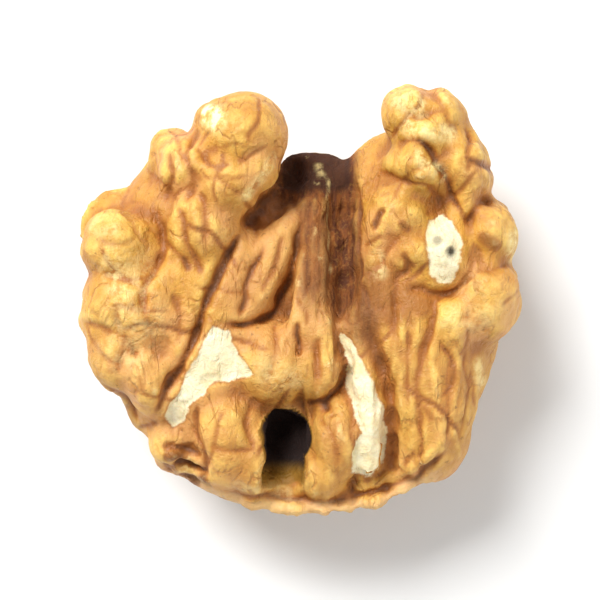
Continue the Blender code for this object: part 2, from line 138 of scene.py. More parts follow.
@dataclass
class KernelShape:
    """Where the kernel swells, folds, is stained, is worn pale, carries painted highlights and is broken."""

    left: tuple[Swelling, ...] = (
        Swelling((-3.9, 11.0, 9.0), (3.1, 3.0, 4.5)),
        Swelling((-5.8, 12.0, 9.2), (1.6, 1.5, 3.0)),
        Swelling((-7.6, 8.9, 8.2), (2.4, 2.4, 4.2)),
        Swelling((-4.8, 8.0, 8.8), (2.7, 2.8, 4.3)),
        Swelling((-3.3, 8.8, 8.6), (2.1, 2.2, 4.2)),
        Swelling((-6.6, 5.2, 8.3), (3.1, 3.8, 4.0), -15),
        Swelling((-8.9, 9.4, 6.6), (2.0, 2.6, 3.6)),
        Swelling((-12.3, 3.6, 8.2), (2.9, 2.7, 4.2)),
        Swelling((-11.2, -0.6, 8.0), (4.1, 4.0, 4.6)),
        Swelling((-14.0, -1.2, 7.4), (1.5, 1.9, 3.0)),
        Swelling((-12.2, -3.6, 7.7), (2.7, 3.4, 4.3), 18),
        Swelling((-10.4, -5.0, 8.0), (2.3, 3.6, 4.0), 22),
        Swelling((-7.2, -0.2, 5.8), (6.8, 11.6, 5.8)),
    )
    right: tuple[Swelling, ...] = (
        Swelling((7.2, 12.4, 8.8), (2.1, 2.3, 4.0)),
        Swelling((9.2, 12.0, 8.6), (2.1, 2.5, 4.0)),
        Swelling((8.2, 10.8, 9.2), (2.4, 2.0, 4.0)),
        Swelling((10.5, 9.1, 8.0), (2.4, 4.0, 4.4), 22),
        Swelling((11.0, 6.4, 7.8), (1.9, 2.4, 4.1)),
        Swelling((12.0, 8.4, 6.8), (1.4, 2.6, 3.6)),
        Swelling((7.7, 8.6, 9.2), (2.4, 2.0, 4.2), -25),
        Swelling((6.6, 5.6, 8.6), (2.6, 2.8, 4.0)),
        Swelling((5.2, 4.6, 8.4), (1.3, 2.6, 3.6)),
        Swelling((7.4, 3.2, 8.6), (2.4, 2.4, 4.0)),
        Swelling((9.5, 3.1, 8.5), (2.3, 3.1, 4.2)),
        Swelling((12.6, 4.4, 7.8), (2.3, 2.6, 4.3)),
        Swelling((12.3, 0.2, 7.8), (2.9, 3.5, 4.5)),
        Swelling((10.2, -1.2, 8.0), (2.4, 2.8, 4.1)),
        Swelling((8.5, -5.2, 7.4), (3.5, 7.4, 4.0), 5),
        Swelling((7.2, 0.4, 5.8), (6.8, 11.8, 5.8)),
    )
    middle: tuple[Swelling, ...] = (
        Swelling((-0.4, -3.4, 5.6), (6.6, 9.2, 3.2)),
        Swelling((0.7, 6.0, 4.8), (4.6, 4.5, 3.2)),
        Swelling((1.0, -10.6, 6.2), (7.6, 3.2, 2.6)),
        Swelling((-3.0, 1.9, 8.6), (2.0, 5.0, 1.9), -32),
        Swelling((-0.8, 3.0, 7.6), (1.6, 4.0, 1.9), -10),
        Swelling((-2.0, -4.2, 8.4), (3.4, 2.9, 3.1)),
        Swelling((1.2, -4.4, 8.4), (1.7, 2.9, 2.9)),
        Swelling((-6.2, -4.6, 8.2), (2.0, 3.9, 2.4), -35),
        Swelling((-5.2, -9.0, 7.8), (2.9, 4.2, 3.4), 10),
        Swelling((-3.2, -10.6, 7.6), (1.7, 3.2, 3.1)),
        Swelling((2.5, -9.2, 7.8), (2.0, 3.2, 3.4)),
        Swelling((4.4, -8.2, 7.4), (1.5, 4.2, 3.2)),
        Swelling((1.4, -11.8, 7.4), (1.9, 1.9, 3.0)),
        Swelling((-8.8, -9.6, 7.4), (1.9, 2.4, 2.4)),
    )
    rods: tuple[Rod, ...] = (
        Rod(((-15.0, 3.8, 6.4, 0.8), (-14.3, 6.2, 7.0, 1.0), (-12.6, 7.2, 7.2, 1.0), (-10.6, 6.4, 7.4, 1.0))),
        Rod(((6.7, 0.8, 10.8, 0.8), (6.7, -3.0, 10.7, 0.8), (7.0, -7.6, 10.1, 0.8), (7.2, -11.4, 8.6, 0.7))),
        Rod(((8.6, -2.6, 10.9, 0.7), (9.0, -6.0, 10.6, 0.7), (9.0, -10.0, 9.4, 0.7))),
        Rod(((10.2, -3.0, 10.3, 0.9), (10.5, -6.4, 9.8, 0.9), (10.0, -9.4, 8.8, 0.8))),
        Rod(((11.4, -3.6, 8.8, 1.0), (11.6, -6.6, 8.6, 0.9), (10.9, -9.2, 8.2, 0.7))),
        Rod(((-1.2, 5.2, 9.0, 0.4), (-3.6, 3.2, 9.9, 0.6), (-5.0, 0.6, 9.9, 0.7), (-5.4, -1.2, 9.6, 0.6))),
        Rod(((-0.6, 5.2, 9.0, 0.4), (-1.8, 2.6, 10.0, 0.6), (-2.9, -0.2, 10.1, 0.6), (-3.6, -1.2, 9.6, 0.5))),
        Rod(((0.9, 9.8, 5.4, 0.8), (0.9, 7.0, 8.2, 0.8), (0.7, 3.6, 9.6, 0.8), (-0.1, -2.4, 10.2, 1.0))),
        Rod(((1.6, 9.8, 5.6, 0.6), (1.6, 7.0, 8.4, 0.7), (1.5, 3.0, 9.8, 0.8), (1.2, -3.0, 10.2, 1.0))),
        Rod((
            (2.5, -1.9, 9.8, 0.4), (3.4, -3.6, 10.2, 0.6), (4.2, -5.8, 10.4, 0.9), (4.9, -8.4, 10.2, 1.0),
            (4.5, -11.6, 9.2, 0.9),
        )),
        Rod((
            (-8.8, -11.0, 7.0, 1.0), (-5.0, -13.0, 7.0, 1.2), (0.8, -13.6, 7.0, 1.2),
            (6.0, -12.9, 7.0, 1.2), (10.2, -10.2, 7.0, 1.0),
        )),
        Rod((
            (-8.0, -10.0, 5.6, 1.8), (-4.8, -11.9, 5.4, 2.1), (0.8, -12.3, 5.4, 2.2),
            (5.8, -11.7, 5.4, 2.1), (9.2, -9.4, 5.6, 1.8),
        )),
    )
    rim: Rod = Rod((
        (-9.0, -11.3, 8.0, 0.36), (-5.4, -13.6, 8.3, 0.38), (1.0, -14.5, 8.4, 0.4),
        (6.8, -13.5, 8.4, 0.38), (10.8, -10.1, 8.1, 0.36),
    ))
    pit: tuple[Rod, ...] = (
        Rod((
            (-1.15, -9.5, 14.0, 1.7), (-1.15, -9.4, 10.4, 1.7), (-1.15, -9.2, 8.0, 1.6),
            (-1.15, -8.9, 6.6, 1.35), (-1.15, -8.6, 5.8, 0.9),
        )),
        Rod((
            (-1.3, -13.4, 11.4, 1.3), (-1.3, -12.0, 9.8, 1.35), (-1.25, -10.6, 8.2, 1.4),
            (-1.2, -9.2, 6.8, 1.2),
        )),
    )
    strokes: tuple[Stroke, ...] = (
        # the crevices between the lobes
        Stroke(((0.6, 10.4), (-0.8, 8.8), (-2.4, 6.6), (-4.2, 4.6)), 0.75, 1.5, 0.9),
        Stroke((
            (-3.8, 4.8), (-5.0, 3.0), (-5.9, 0.6), (-7.1, -2.4), (-8.7, -5.4), (-10.2, -8.2),
        ), 0.24, 1.0, 0.8),
        Stroke(((2.9, 10.4), (2.8, 6.0), (2.7, 2.0), (2.5, -1.8)), 0.75, 1.6, 1.0),
        Stroke(((3.8, 8.4), (4.0, 4.4), (4.0, 1.8), (4.6, -0.8)), 0.2, 0.5, 0.8),
        Stroke((
            (4.0, -0.6), (4.8, -3.0), (5.5, -5.2), (6.2, -7.6), (6.3, -10.0), (5.8, -12.2),
        ), 0.36, 0.7, 0.45),
        Stroke((
            (2.0, -1.6), (2.7, -3.4), (3.1, -4.4), (2.7, -5.6), (1.6, -6.6), (0.4, -7.4),
        ), 0.22, 1.0, 0.9),
        Stroke(((0.2, -7.3), (1.2, -6.7), (1.7, -7.6)), 0.3, 0.6, 0.9),
        # the folds of the right lobe
        Stroke((
            (6.2, 10.3), (7.6, 10.3), (8.4, 9.7), (9.2, 8.6), (9.9, 7.3), (10.5, 6.0), (11.1, 4.6),
        ), 0.16, 0.6, 0.9),
        Stroke(((5.2, 8.7), (6.6, 8.0), (8.2, 7.5), (9.6, 6.7)), 0.14, 0.4, 0.5),
        Stroke(((6.4, 3.2), (7.0, 2.0), (6.3, 1.2), (6.2, -0.6), (6.1, -3.4)), 0.22, 0.5, 0.5),
        Stroke((
            (8.8, 1.0), (8.8, -1.4), (8.3, -3.0), (7.8, -5.0), (7.9, -8.0), (8.1, -11.2),
        ), 0.2, 0.45, 0.4),
        Stroke(((9.7, -2.6), (9.7, -6.0), (9.6, -10.0)), 0.16, 0.35, 0.3),
        Stroke(((10.9, -3.0), (11.1, -6.0), (10.6, -9.4)), 0.16, 0.4, 0.3),
        Stroke(((7.2, -1.8), (7.0, -4.4), (7.2, -7.6)), 0.14, 0.25, 0.3),
        Stroke(((11.4, 2.8), (10.9, 1.2), (10.0, 0.4), (8.8, 0.4), (7.6, 0.9), (6.6, 0.4)), 0.22, 0.6, 0.45),
        Stroke(((11.4, 1.8), (13.6, 2.2), (15.4, 2.0)), 0.24, 0.5, 0.3),
        Stroke(((10.6, 9.5), (12.0, 8.9), (13.4, 8.6)), 0.2, 0.5, 0.7),
        Stroke(((13.6, 6.9), (12.0, 6.4), (10.8, 4.8)), 0.26, 0.7, 0.5),
        Stroke(((6.0, 13.0), (7.6, 12.1), (9.6, 12.3)), 0.2, 0.35, 0.3),
        Stroke(((8.8, 14.0), (9.2, 12.2), (10.4, 11.2)), 0.18, 0.3, 0.3),
        Stroke(((10.9, 11.6), (11.1, 9.8), (10.9, 8.2)), 0.2, 0.45, 0.4),
        Stroke(((4.8, 4.4), (5.0, 5.4), (5.7, 5.9)), 0.15, 0.3, 0.7),
        # the folds of the left lobes
        Stroke((
            (-10.4, 7.0), (-9.6, 5.2), (-9.1, 3.8), (-9.6, 2.4), (-10.4, 1.0), (-10.2, -0.8), (-9.7, -3.4),
        ), 0.22, 0.6, 0.45),
        Stroke(((-9.6, 4.4), (-8.0, 3.0), (-7.4, 1.8)), 0.18, 0.4, 0.6),
        Stroke(((-7.0, 11.4), (-7.4, 9.4), (-7.3, 7.6), (-7.6, 6.0)), 0.2, 0.5, 0.45),
        Stroke(((-8.8, 10.0), (-8.7, 8.2), (-9.1, 6.6)), 0.18, 0.4, 0.4),
        Stroke(((-7.0, 10.2), (-6.1, 8.9), (-4.6, 8.7)), 0.14, 0.28, 0.5),
        Stroke(((-4.4, 8.9), (-3.4, 9.5), (-2.2, 9.9)), 0.12, 0.2, 0.35),
        Stroke(((-5.9, 8.4), (-4.6, 7.2), (-3.6, 6.9)), 0.14, 0.3, 0.4),
        Stroke(((-7.1, 8.8), (-6.2, 9.6), (-4.8, 10.1), (-3.2, 9.8)), 0.08, 0.08, 0.3),
        Stroke(((-7.1, 8.8), (-6.2, 8.1), (-4.8, 7.9), (-3.4, 8.2)), 0.08, 0.1, 0.35),
        Stroke(((-7.0, 8.8), (-7.6, 7.6), (-8.7, 6.6)), 0.09, 0.12, 0.45),
        Stroke(((-7.1, 8.9), (-6.6, 10.4), (-5.6, 11.4)), 0.08, 0.08, 0.3),
        Stroke(((-6.6, 7.4), (-6.4, 5.4), (-6.6, 3.4)), 0.16, 0.35, 0.4),
        Stroke(((-8.3, 6.4), (-7.3, 3.4), (-6.6, 1.6)), 0.18, 0.4, 0.5),
        Stroke(((-14.8, -1.4), (-12.2, -2.2), (-10.8, -4.2)), 0.22, 0.4, 0.25),
        Stroke(((-13.8, -5.4), (-11.8, -6.6), (-11.2, -8.2)), 0.22, 0.5, 0.5),
        Stroke(((-13.6, 1.8), (-11.6, 1.2), (-10.2, 0.4)), 0.2, 0.35, 0.25),
        Stroke(((-13.8, 4.4), (-12.2, 3.6), (-10.8, 4.2)), 0.18, 0.3, 0.2),
        Stroke(((-12.4, -0.2), (-11.9, -3.0), (-12.4, -5.0)), 0.2, 0.35, 0.3),
        Stroke(((-8.8, 0.6), (-8.0, -1.4), (-8.4, -3.0)), 0.18, 0.3, 0.3),
        # the flap and the ribs of the middle
        Stroke((
            (0.1, 6.8), (-0.2, 4.2), (-0.8, 2.0), (-1.4, 0.2), (-2.4, -1.1), (-4.0, -1.6), (-6.2, -1.8),
        ), 0.22, 0.8, 0.85),
        Stroke(((-2.3, 4.0), (-3.4, 1.6), (-3.9, 0.0), (-4.4, -1.3)), 0.17, 0.45, 0.75),
        Stroke(((-1.2, 4.8), (-1.9, 2.2), (-2.8, 0.2)), 0.14, 0.25, 0.5),
        Stroke(((0.6, 9.0), (0.5, 4.0), (0.2, -0.4)), 0.16, 0.35, 0.65),
        Stroke(((1.2, 8.8), (1.1, 3.6), (0.8, -0.8)), 0.14, 0.3, 0.5),
        Stroke(((-0.2, -1.4), (-0.2, -4.0)), 0.16, 0.5, 0.9),
        Stroke(((1.1, -2.2), (1.0, -5.4)), 0.2, 0.4, 0.4),
        Stroke(((-2.0, -1.2), (-1.8, -3.6), (-2.3, -5.8)), 0.22, 0.35, 0.25),
        # the lower lobes, the papery corner and the gap inside the rim
        Stroke(((-7.2, -6.8), (-7.1, -8.6), (-6.6, -9.8), (-6.4, -12.0)), 0.18, 0.5, 0.6),
        Stroke(((-6.4, -9.7), (-4.6, -10.0), (-3.0, -10.0)), 0.14, 0.3, 0.35),
        Stroke(((-3.2, -6.2), (-3.8, -8.4), (-3.2, -10.2)), 0.2, 0.4, 0.4),
        Stroke(((1.0, -7.6), (2.4, -9.6), (2.2, -11.4)), 0.2, 0.4, 0.4),
        # The papery corner's crevices are stained nearly the darkest brown, which also paints the shade in
        # its folds.
        Stroke(((-9.4, -9.8), (-8.0, -9.9), (-6.6, -10.5)), 0.22, 0.6, 0.9),
        Stroke(((-8.9, -10.9), (-7.6, -11.0), (-6.2, -11.6)), 0.22, 0.6, 0.95),
        Stroke(((-8.6, -12.0), (-7.4, -12.2), (-6.0, -12.5)), 0.22, 0.6, 1.0),
        Stroke(((-9.4, -11.0), (-8.6, -12.2), (-7.4, -13.0)), 0.16, 0.4, 0.6),
        Stroke(((-9.2, -10.4), (-8.0, -10.5), (-6.6, -11.1)), 0.15, -0.45, 0.0),
        Stroke(((-8.8, -11.5), (-7.4, -11.7), (-6.0, -12.1)), 0.15, -0.45, 0.0),
        Stroke(((2.6, -12.6), (5.0, -12.5), (7.2, -11.6), (8.8, -10.2), (10.0, -8.6)), 0.15, -0.5, 0.0),
        Stroke((
            (-6.2, -12.9), (-3.0, -13.2), (0.0, -13.5), (1.6, -13.8), (4.0, -13.4), (5.6, -12.4),
        ), 0.2, 0.35, 0.7),
        Stroke(((3.8, -13.6), (6.0, -12.7), (7.6, -12.2), (8.6, -11.0), (10.0, -9.7)), 0.2, 0.35, 0.7),
    )
    spots: tuple[Stroke, ...] = (
        Stroke(((4.9, 5.0), (5.3, 5.6)), 0.35, 0.0, 0.8),
        Stroke(((6.7, 5.0), (7.0, 4.7)), 0.3, 0.0, 0.6),
        Stroke(((6.7, 2.9), (7.2, 2.3)), 0.3, 0.0, 0.6),
        Stroke(((12.1, 4.2), (12.8, 3.4)), 0.5, 0.0, 0.55),
        Stroke(((12.0, 8.8), (12.8, 8.6)), 0.35, 0.0, 0.6),
        Stroke(((-7.8, 2.8), (-7.5, 2.1)), 0.3, 0.0, 0.7),
        Stroke(((-5.6, 8.7), (-5.3, 8.4)), 0.25, 0.0, 0.5),
        Stroke(((8.2, -7.2), (8.6, -7.9)), 0.3, 0.0, 0.4),
        Stroke(((7.4, 0.2), (7.8, -0.8), (8.3, -0.2)), 0.7, 0.0, 0.45),
        Stroke(((3.9, 1.4), (4.3, -0.6), (4.8, -2.6), (5.4, -4.6)), 0.8, 0.0, 0.62),
        Stroke(((5.3, 1.4), (6.0, -0.8), (7.2, 0.4)), 1.3, 0.0, 0.46),
        Stroke(((1.6, -8.0), (2.4, -10.8)), 1.0, 0.0, 0.22),
        # These two spots paint the shade in the folds of the papery corner.
        Stroke(((-9.0, -10.6), (-7.6, -10.2)), 0.4, 0.0, 0.7),
        Stroke(((-7.8, -12.6), (-6.6, -12.0)), 0.4, 0.0, 0.8),
        Stroke(((-11.0, 6.0), (-9.8, 5.6)), 0.5, 0.0, 0.5),
        Stroke(((-3.2, -7.0), (-2.2, -6.6)), 0.4, 0.0, 0.4),
    )
    # Pale touches: skin worn thin, and painted highlights on the crests and outer edges of the lobes.
    rubs_and_highlights: tuple[Stroke, ...] = (
        Stroke(((-6.4, 12.3), (-5.7, 11.7)), 0.85, 0.0, 1.3),
        Stroke(((-11.6, 2.0), (-11.0, -1.0), (-11.8, -3.0)), 2.0, 0.0, 0.35),
        Stroke(((11.6, 0.6), (13.0, -0.6)), 1.4, 0.0, 0.2),
        Stroke(((6.4, 13.4), (7.6, 12.8)), 0.8, 0.0, 0.8),
        Stroke(((7.0, 11.3), (8.4, 11.0), (9.8, 10.9)), 0.6, 0.0, 0.8),
        Stroke(((7.9, 9.3), (9.0, 8.2)), 0.6, 0.0, 0.9),
        Stroke(((-2.0, 9.2), (-3.4, 7.0)), 0.45, 0.0, 0.8),
        Stroke(((-12.4, 2.4), (-12.2, 0.6)), 0.9, 0.0, 0.7),
        Stroke(((-13.6, 5.0), (-12.6, 4.8)), 0.8, 0.0, 0.5),
        Stroke(((-15.2, -0.8), (-15.0, -2.0)), 0.7, 0.0, 0.9),
        Stroke(((14.2, 4.2), (14.5, 2.4)), 0.8, 0.0, 0.9),
        Stroke(((10.0, -1.4), (12.0, -1.0)), 1.0, 0.0, 0.4),
        Stroke(((12.0, -4.6), (12.2, -5.6)), 0.6, 0.0, 0.7),
        Stroke(((4.9, 2.8), (5.2, 1.8)), 0.5, 0.0, 0.5),
        Stroke(((1.2, 9.2), (1.3, 8.4)), 0.25, 0.0, 0.5),
        Stroke(((1.7, 8.4), (1.75, 5.5), (1.8, 2.0)), 0.13, 0.0, 0.5),
        Stroke(((-4.6, -12.4), (-1.0, -13.0)), 0.5, 0.0, 0.4),
        Stroke(((-2.6, -4.6), (-0.6, -5.2)), 0.9, 0.0, 0.4),
    )
    patches: tuple[Patch, ...] = (
        Patch((
            (-5.9, -1.8), (-4.8, -2.1), (-4.2, -3.6), (-3.1, -5.0), (-4.4, -5.4), (-5.7, -5.5), (-6.5, -6.4),
            (-7.4, -7.0), (-7.9, -8.2), (-8.8, -8.7), (-9.3, -8.0), (-8.6, -6.6), (-7.7, -5.0), (-6.8, -3.3),
        )),
        Patch((
            (2.2, -1.6), (3.2, -2.6), (4.0, -3.9), (4.9, -5.6), (5.6, -7.4), (5.9, -9.3), (5.6, -11.1),
            (4.7, -12.2), (3.3, -11.7), (3.3, -10.2), (3.8, -8.8),
            (3.4, -7.2), (2.9, -5.6), (3.1, -4.2), (2.6, -2.8),
        )),
        Patch((
            (8.3, 5.2), (9.2, 5.7), (10.2, 5.2), (10.7, 3.6), (10.6, 2.1), (9.9, 1.1), (9.0, 0.9), (8.4, 1.8),
            (8.2, 3.4),
        )),
    )
    dots: tuple[tuple[float, float, float, float], ...] = ((8.95, 3.9, 0.48, 0.6), (9.8, 3.2, 0.44, 1.0))


def activate(thing: bpy.types.Object) -> None:
    """Makes an object the only one selected, and the active one."""
    bpy.ops.object.select_all(action="DESELECT")
    thing.select_set(True)
    bpy.context.view_layer.objects.active = thing


def read_points(mesh: bpy.types.Mesh) -> tuple[np.ndarray, np.ndarray]:
    """Reads a mesh's vertices.

    Args:
        mesh: the mesh.

    Returns:
        The points in millimetres, and their normals.
    """
    points = np.empty(len(mesh.vertices) * 3)
    mesh.vertices.foreach_get("co", points)
    normals = np.empty(len(mesh.vertices) * 3)
    mesh.vertex_normals.foreach_get("vector", normals)
    return points.reshape(-1, 3) / MM, normals.reshape(-1, 3)


def write_points(mesh: bpy.types.Mesh, points: np.ndarray) -> None:
    """Moves a mesh's vertices to points given in millimetres."""
    mesh.vertices.foreach_set("co", (points * MM).ravel())
    mesh.update()


def soft_step(values: np.ndarray, low: float, high: float) -> np.ndarray:
    """A soft S from 0 at low to 1 at high, for each value."""
    share = np.clip((values - low) / (high - low), 0.0, 1.0)
    return share * share * (3.0 - 2.0 * share)


def smooth_path(points: Path, steps: int = 6) -> list[np.ndarray]:
    """Runs a smooth curve through the points of a stroke.

    Args:
        points: the points.
        steps: how many pieces each stretch is cut into.

    Returns:
        The points along the curve.
    """
    corners = [np.array(point, float) for point in (points[0], *points, points[-1])]
    path = []
    for before, start, stop, after in zip(corners, corners[1:], corners[2:], corners[3:]):
        for step in range(steps):
            t = step / steps
            bend = 2 * before - 5 * start + 4 * stop - after
            twist = 3 * start - before - 3 * stop + after
            path.append(0.5 * (2 * start + (stop - before) * t + bend * t**2 + twist * t**3))
    path.append(corners[-1])
    return path


def waver(path: list[np.ndarray], reach: float = 0.3, scale: float = 1.4) -> list[np.ndarray]:
    """Lets a flat path wander a little, as grown folds do.

    Args:
        path: the (x, y) points in millimetres.
        reach: how far a point may wander, in millimetres.
        scale: how long the bends are, in millimetres.

    Returns:
        The wandering path.
    """
    places = [Vector((*point, 0.0)) / scale for point in path]
    return [point + reach * np.array(noise.noise_vector(place)[:2]) for point, place in zip(path, places)]


def lay_path(path: list[np.ndarray], skin: BVHTree, face: Face) -> list[np.ndarray]:
    """Lays a flat path on the skin, from above for the inner face and from below for the outer.

    Args:
        path: the (x, y) points in millimetres.
        skin: the skin's tree.
        face: the face that the path is on.

    Returns:
        The path's points on the skin, in millimetres.
    """
    laid = []
    for x, y in path:
        start = Vector((x * MM, y * MM, -face.value * 0.1))
        hit = skin.ray_cast(start, Vector((0.0, 0.0, face.value)))[0]
        if hit is not None:
            laid.append(np.array(hit) / MM)
    return laid


def path_reach(points: np.ndarray, path: list[np.ndarray]) -> tuple[np.ndarray, np.ndarray]:
    """Measures how far points lie from a path.

    Args:
        points: the points.
        path: the path's points.

    Returns:
        Each point's distance, and how far along the path the nearest place is, from 0 to 1.
    """
    nearest = np.full(len(points), np.inf)
    along = np.zeros(len(points))
    count = max(len(path) - 1, 1)
    for index, (start, stop) in enumerate(zip(path, path[1:])):
        run = stop - start
        share = np.clip((points - start) @ run / max(run @ run, 1e-9), 0.0, 1.0)
        gap = np.linalg.norm(points - start - share[:, None] * run, axis=1)
        closer = gap < nearest
        nearest[closer] = gap[closer]
        along[closer] = (index + share[closer]) / count
    return nearest, along


def stroke_reach(
    stroke: Stroke, skin: BVHTree, points: np.ndarray
) -> tuple[np.ndarray, np.ndarray, np.ndarray]:
    """Measures how far the points near a stroke lie from it.

    Args:
        stroke: the stroke.
        skin: the tree of the skin that it is laid on.
        points: the skin's points, in millimetres.

    Returns:
        The numbers of the points near it, their distances, and how strong the stroke is there.
    """
    path = lay_path(waver(smooth_path(stroke.points)), skin, stroke.face)
    if len(path) < 2:
        return np.zeros(0, dtype=int), np.zeros(0), np.zeros(0)
    reach = 5.0 * stroke.half_width
    low = np.min(path, axis=0) - reach
    high = np.max(path, axis=0) + reach
    near = np.flatnonzero(np.all((points > low) & (points < high), axis=1))
    gap, along = path_reach(points[near], path)
    uneven = np.array([noise.noise(Vector(point) / 1.3) for point in points[near]])
    strength = soft_step(np.minimum(along, 1.0 - along), 0.0, 0.22) * (1.0 + 0.6 * uneven)
    return near, gap, strength


def grow_veins(face: Face, count: int) -> tuple[Stroke, ...]:
    """Lets veins grow outwards over one face, evenly spread, until they run into each other.

    Args:
        face: the face.
        count: how many veins are started.

    Returns:
        The veins, as shallow strokes.
    """
    veins = []
    taken = []
    for number in range(count):
        turn = number * VEIN_TURN
        far = math.sqrt((number + 0.5) / count)
        place = Vector((VEIN_REACH[0] * far * math.cos(turn), VEIN_REACH[1] * far * math.sin(turn)))
        heading = math.atan2(place.y + 3.0, place.x)
        if face is Face.INNER and place.y < -1.0 and place.x > 3.0:
            heading = -math.pi / 2.0
        chance = noise.noise(Vector((number * 0.37, face.value, 2.0)))
        points = []
        for _ in range(7 + round(6.0 * abs(chance))):
            points.append(place.to_tuple())
            if any((place - other).length < VEIN_GAP for other in taken):
                break
            heading += 0.9 * noise.noise(Vector((*(place / 1.6), face.value)))
            place = place + VEIN_STEP * Vector((math.cos(heading), math.sin(heading)))
        taken += [Vector(point) for point in points]
        if len(points) > 2:
            stain = VEIN_STAIN + VEIN_STAIN_SPREAD * chance
            veins.append(Stroke(tuple(points), VEIN_HALF_WIDTH, VEIN_DEPTH, stain, face))
    return tuple(veins)


def add_swelling(swelling: Swelling) -> bpy.types.Object:
    """Adds one ellipsoid at its size and place, and returns it."""
    bpy.ops.mesh.primitive_uv_sphere_add(
        segments=32,
        ring_count=20,
        radius=1.0,
        location=Vector(swelling.centre) * MM,
        rotation=(0.0, 0.0, math.radians(swelling.turn)),
        scale=Vector(swelling.half_sizes) * MM,
    )
    return bpy.context.object


def add_rod(rod: Rod) -> bpy.types.Object:
    """Adds a closed rod that follows a smooth curve and changes its thickness along it.

    Args:
        rod: the rod.

    Returns:
        The rod as a mesh object.
    """
    curve = bpy.data.curves.new("rod", "CURVE")
    curve.dimensions = "3D"
    curve.bevel_depth = MM
    curve.bevel_resolution = 4
    curve.resolution_u = 8
    curve.use_fill_caps = True
    spline = curve.splines.new("NURBS")
    spline.points.add(len(rod.points) - 1)
    for point, (x, y, z, radius) in zip(spline.points, rod.points):
        point.co = (x * MM, y * MM, z * MM, 1.0)
        point.radius = radius
    spline.order_u = 3
    spline.use_endpoint_u = True
    thing = bpy.data.objects.new("rod", curve)
    bpy.context.collection.objects.link(thing)
    activate(thing)
    bpy.ops.object.convert(target="MESH")
    bpy.ops.object.mode_set(mode="EDIT")
    bpy.ops.mesh.select_all(action="SELECT")
    bpy.ops.mesh.remove_doubles(threshold=0.001 * MM)
    bpy.ops.object.mode_set(mode="OBJECT")
    return bpy.context.object


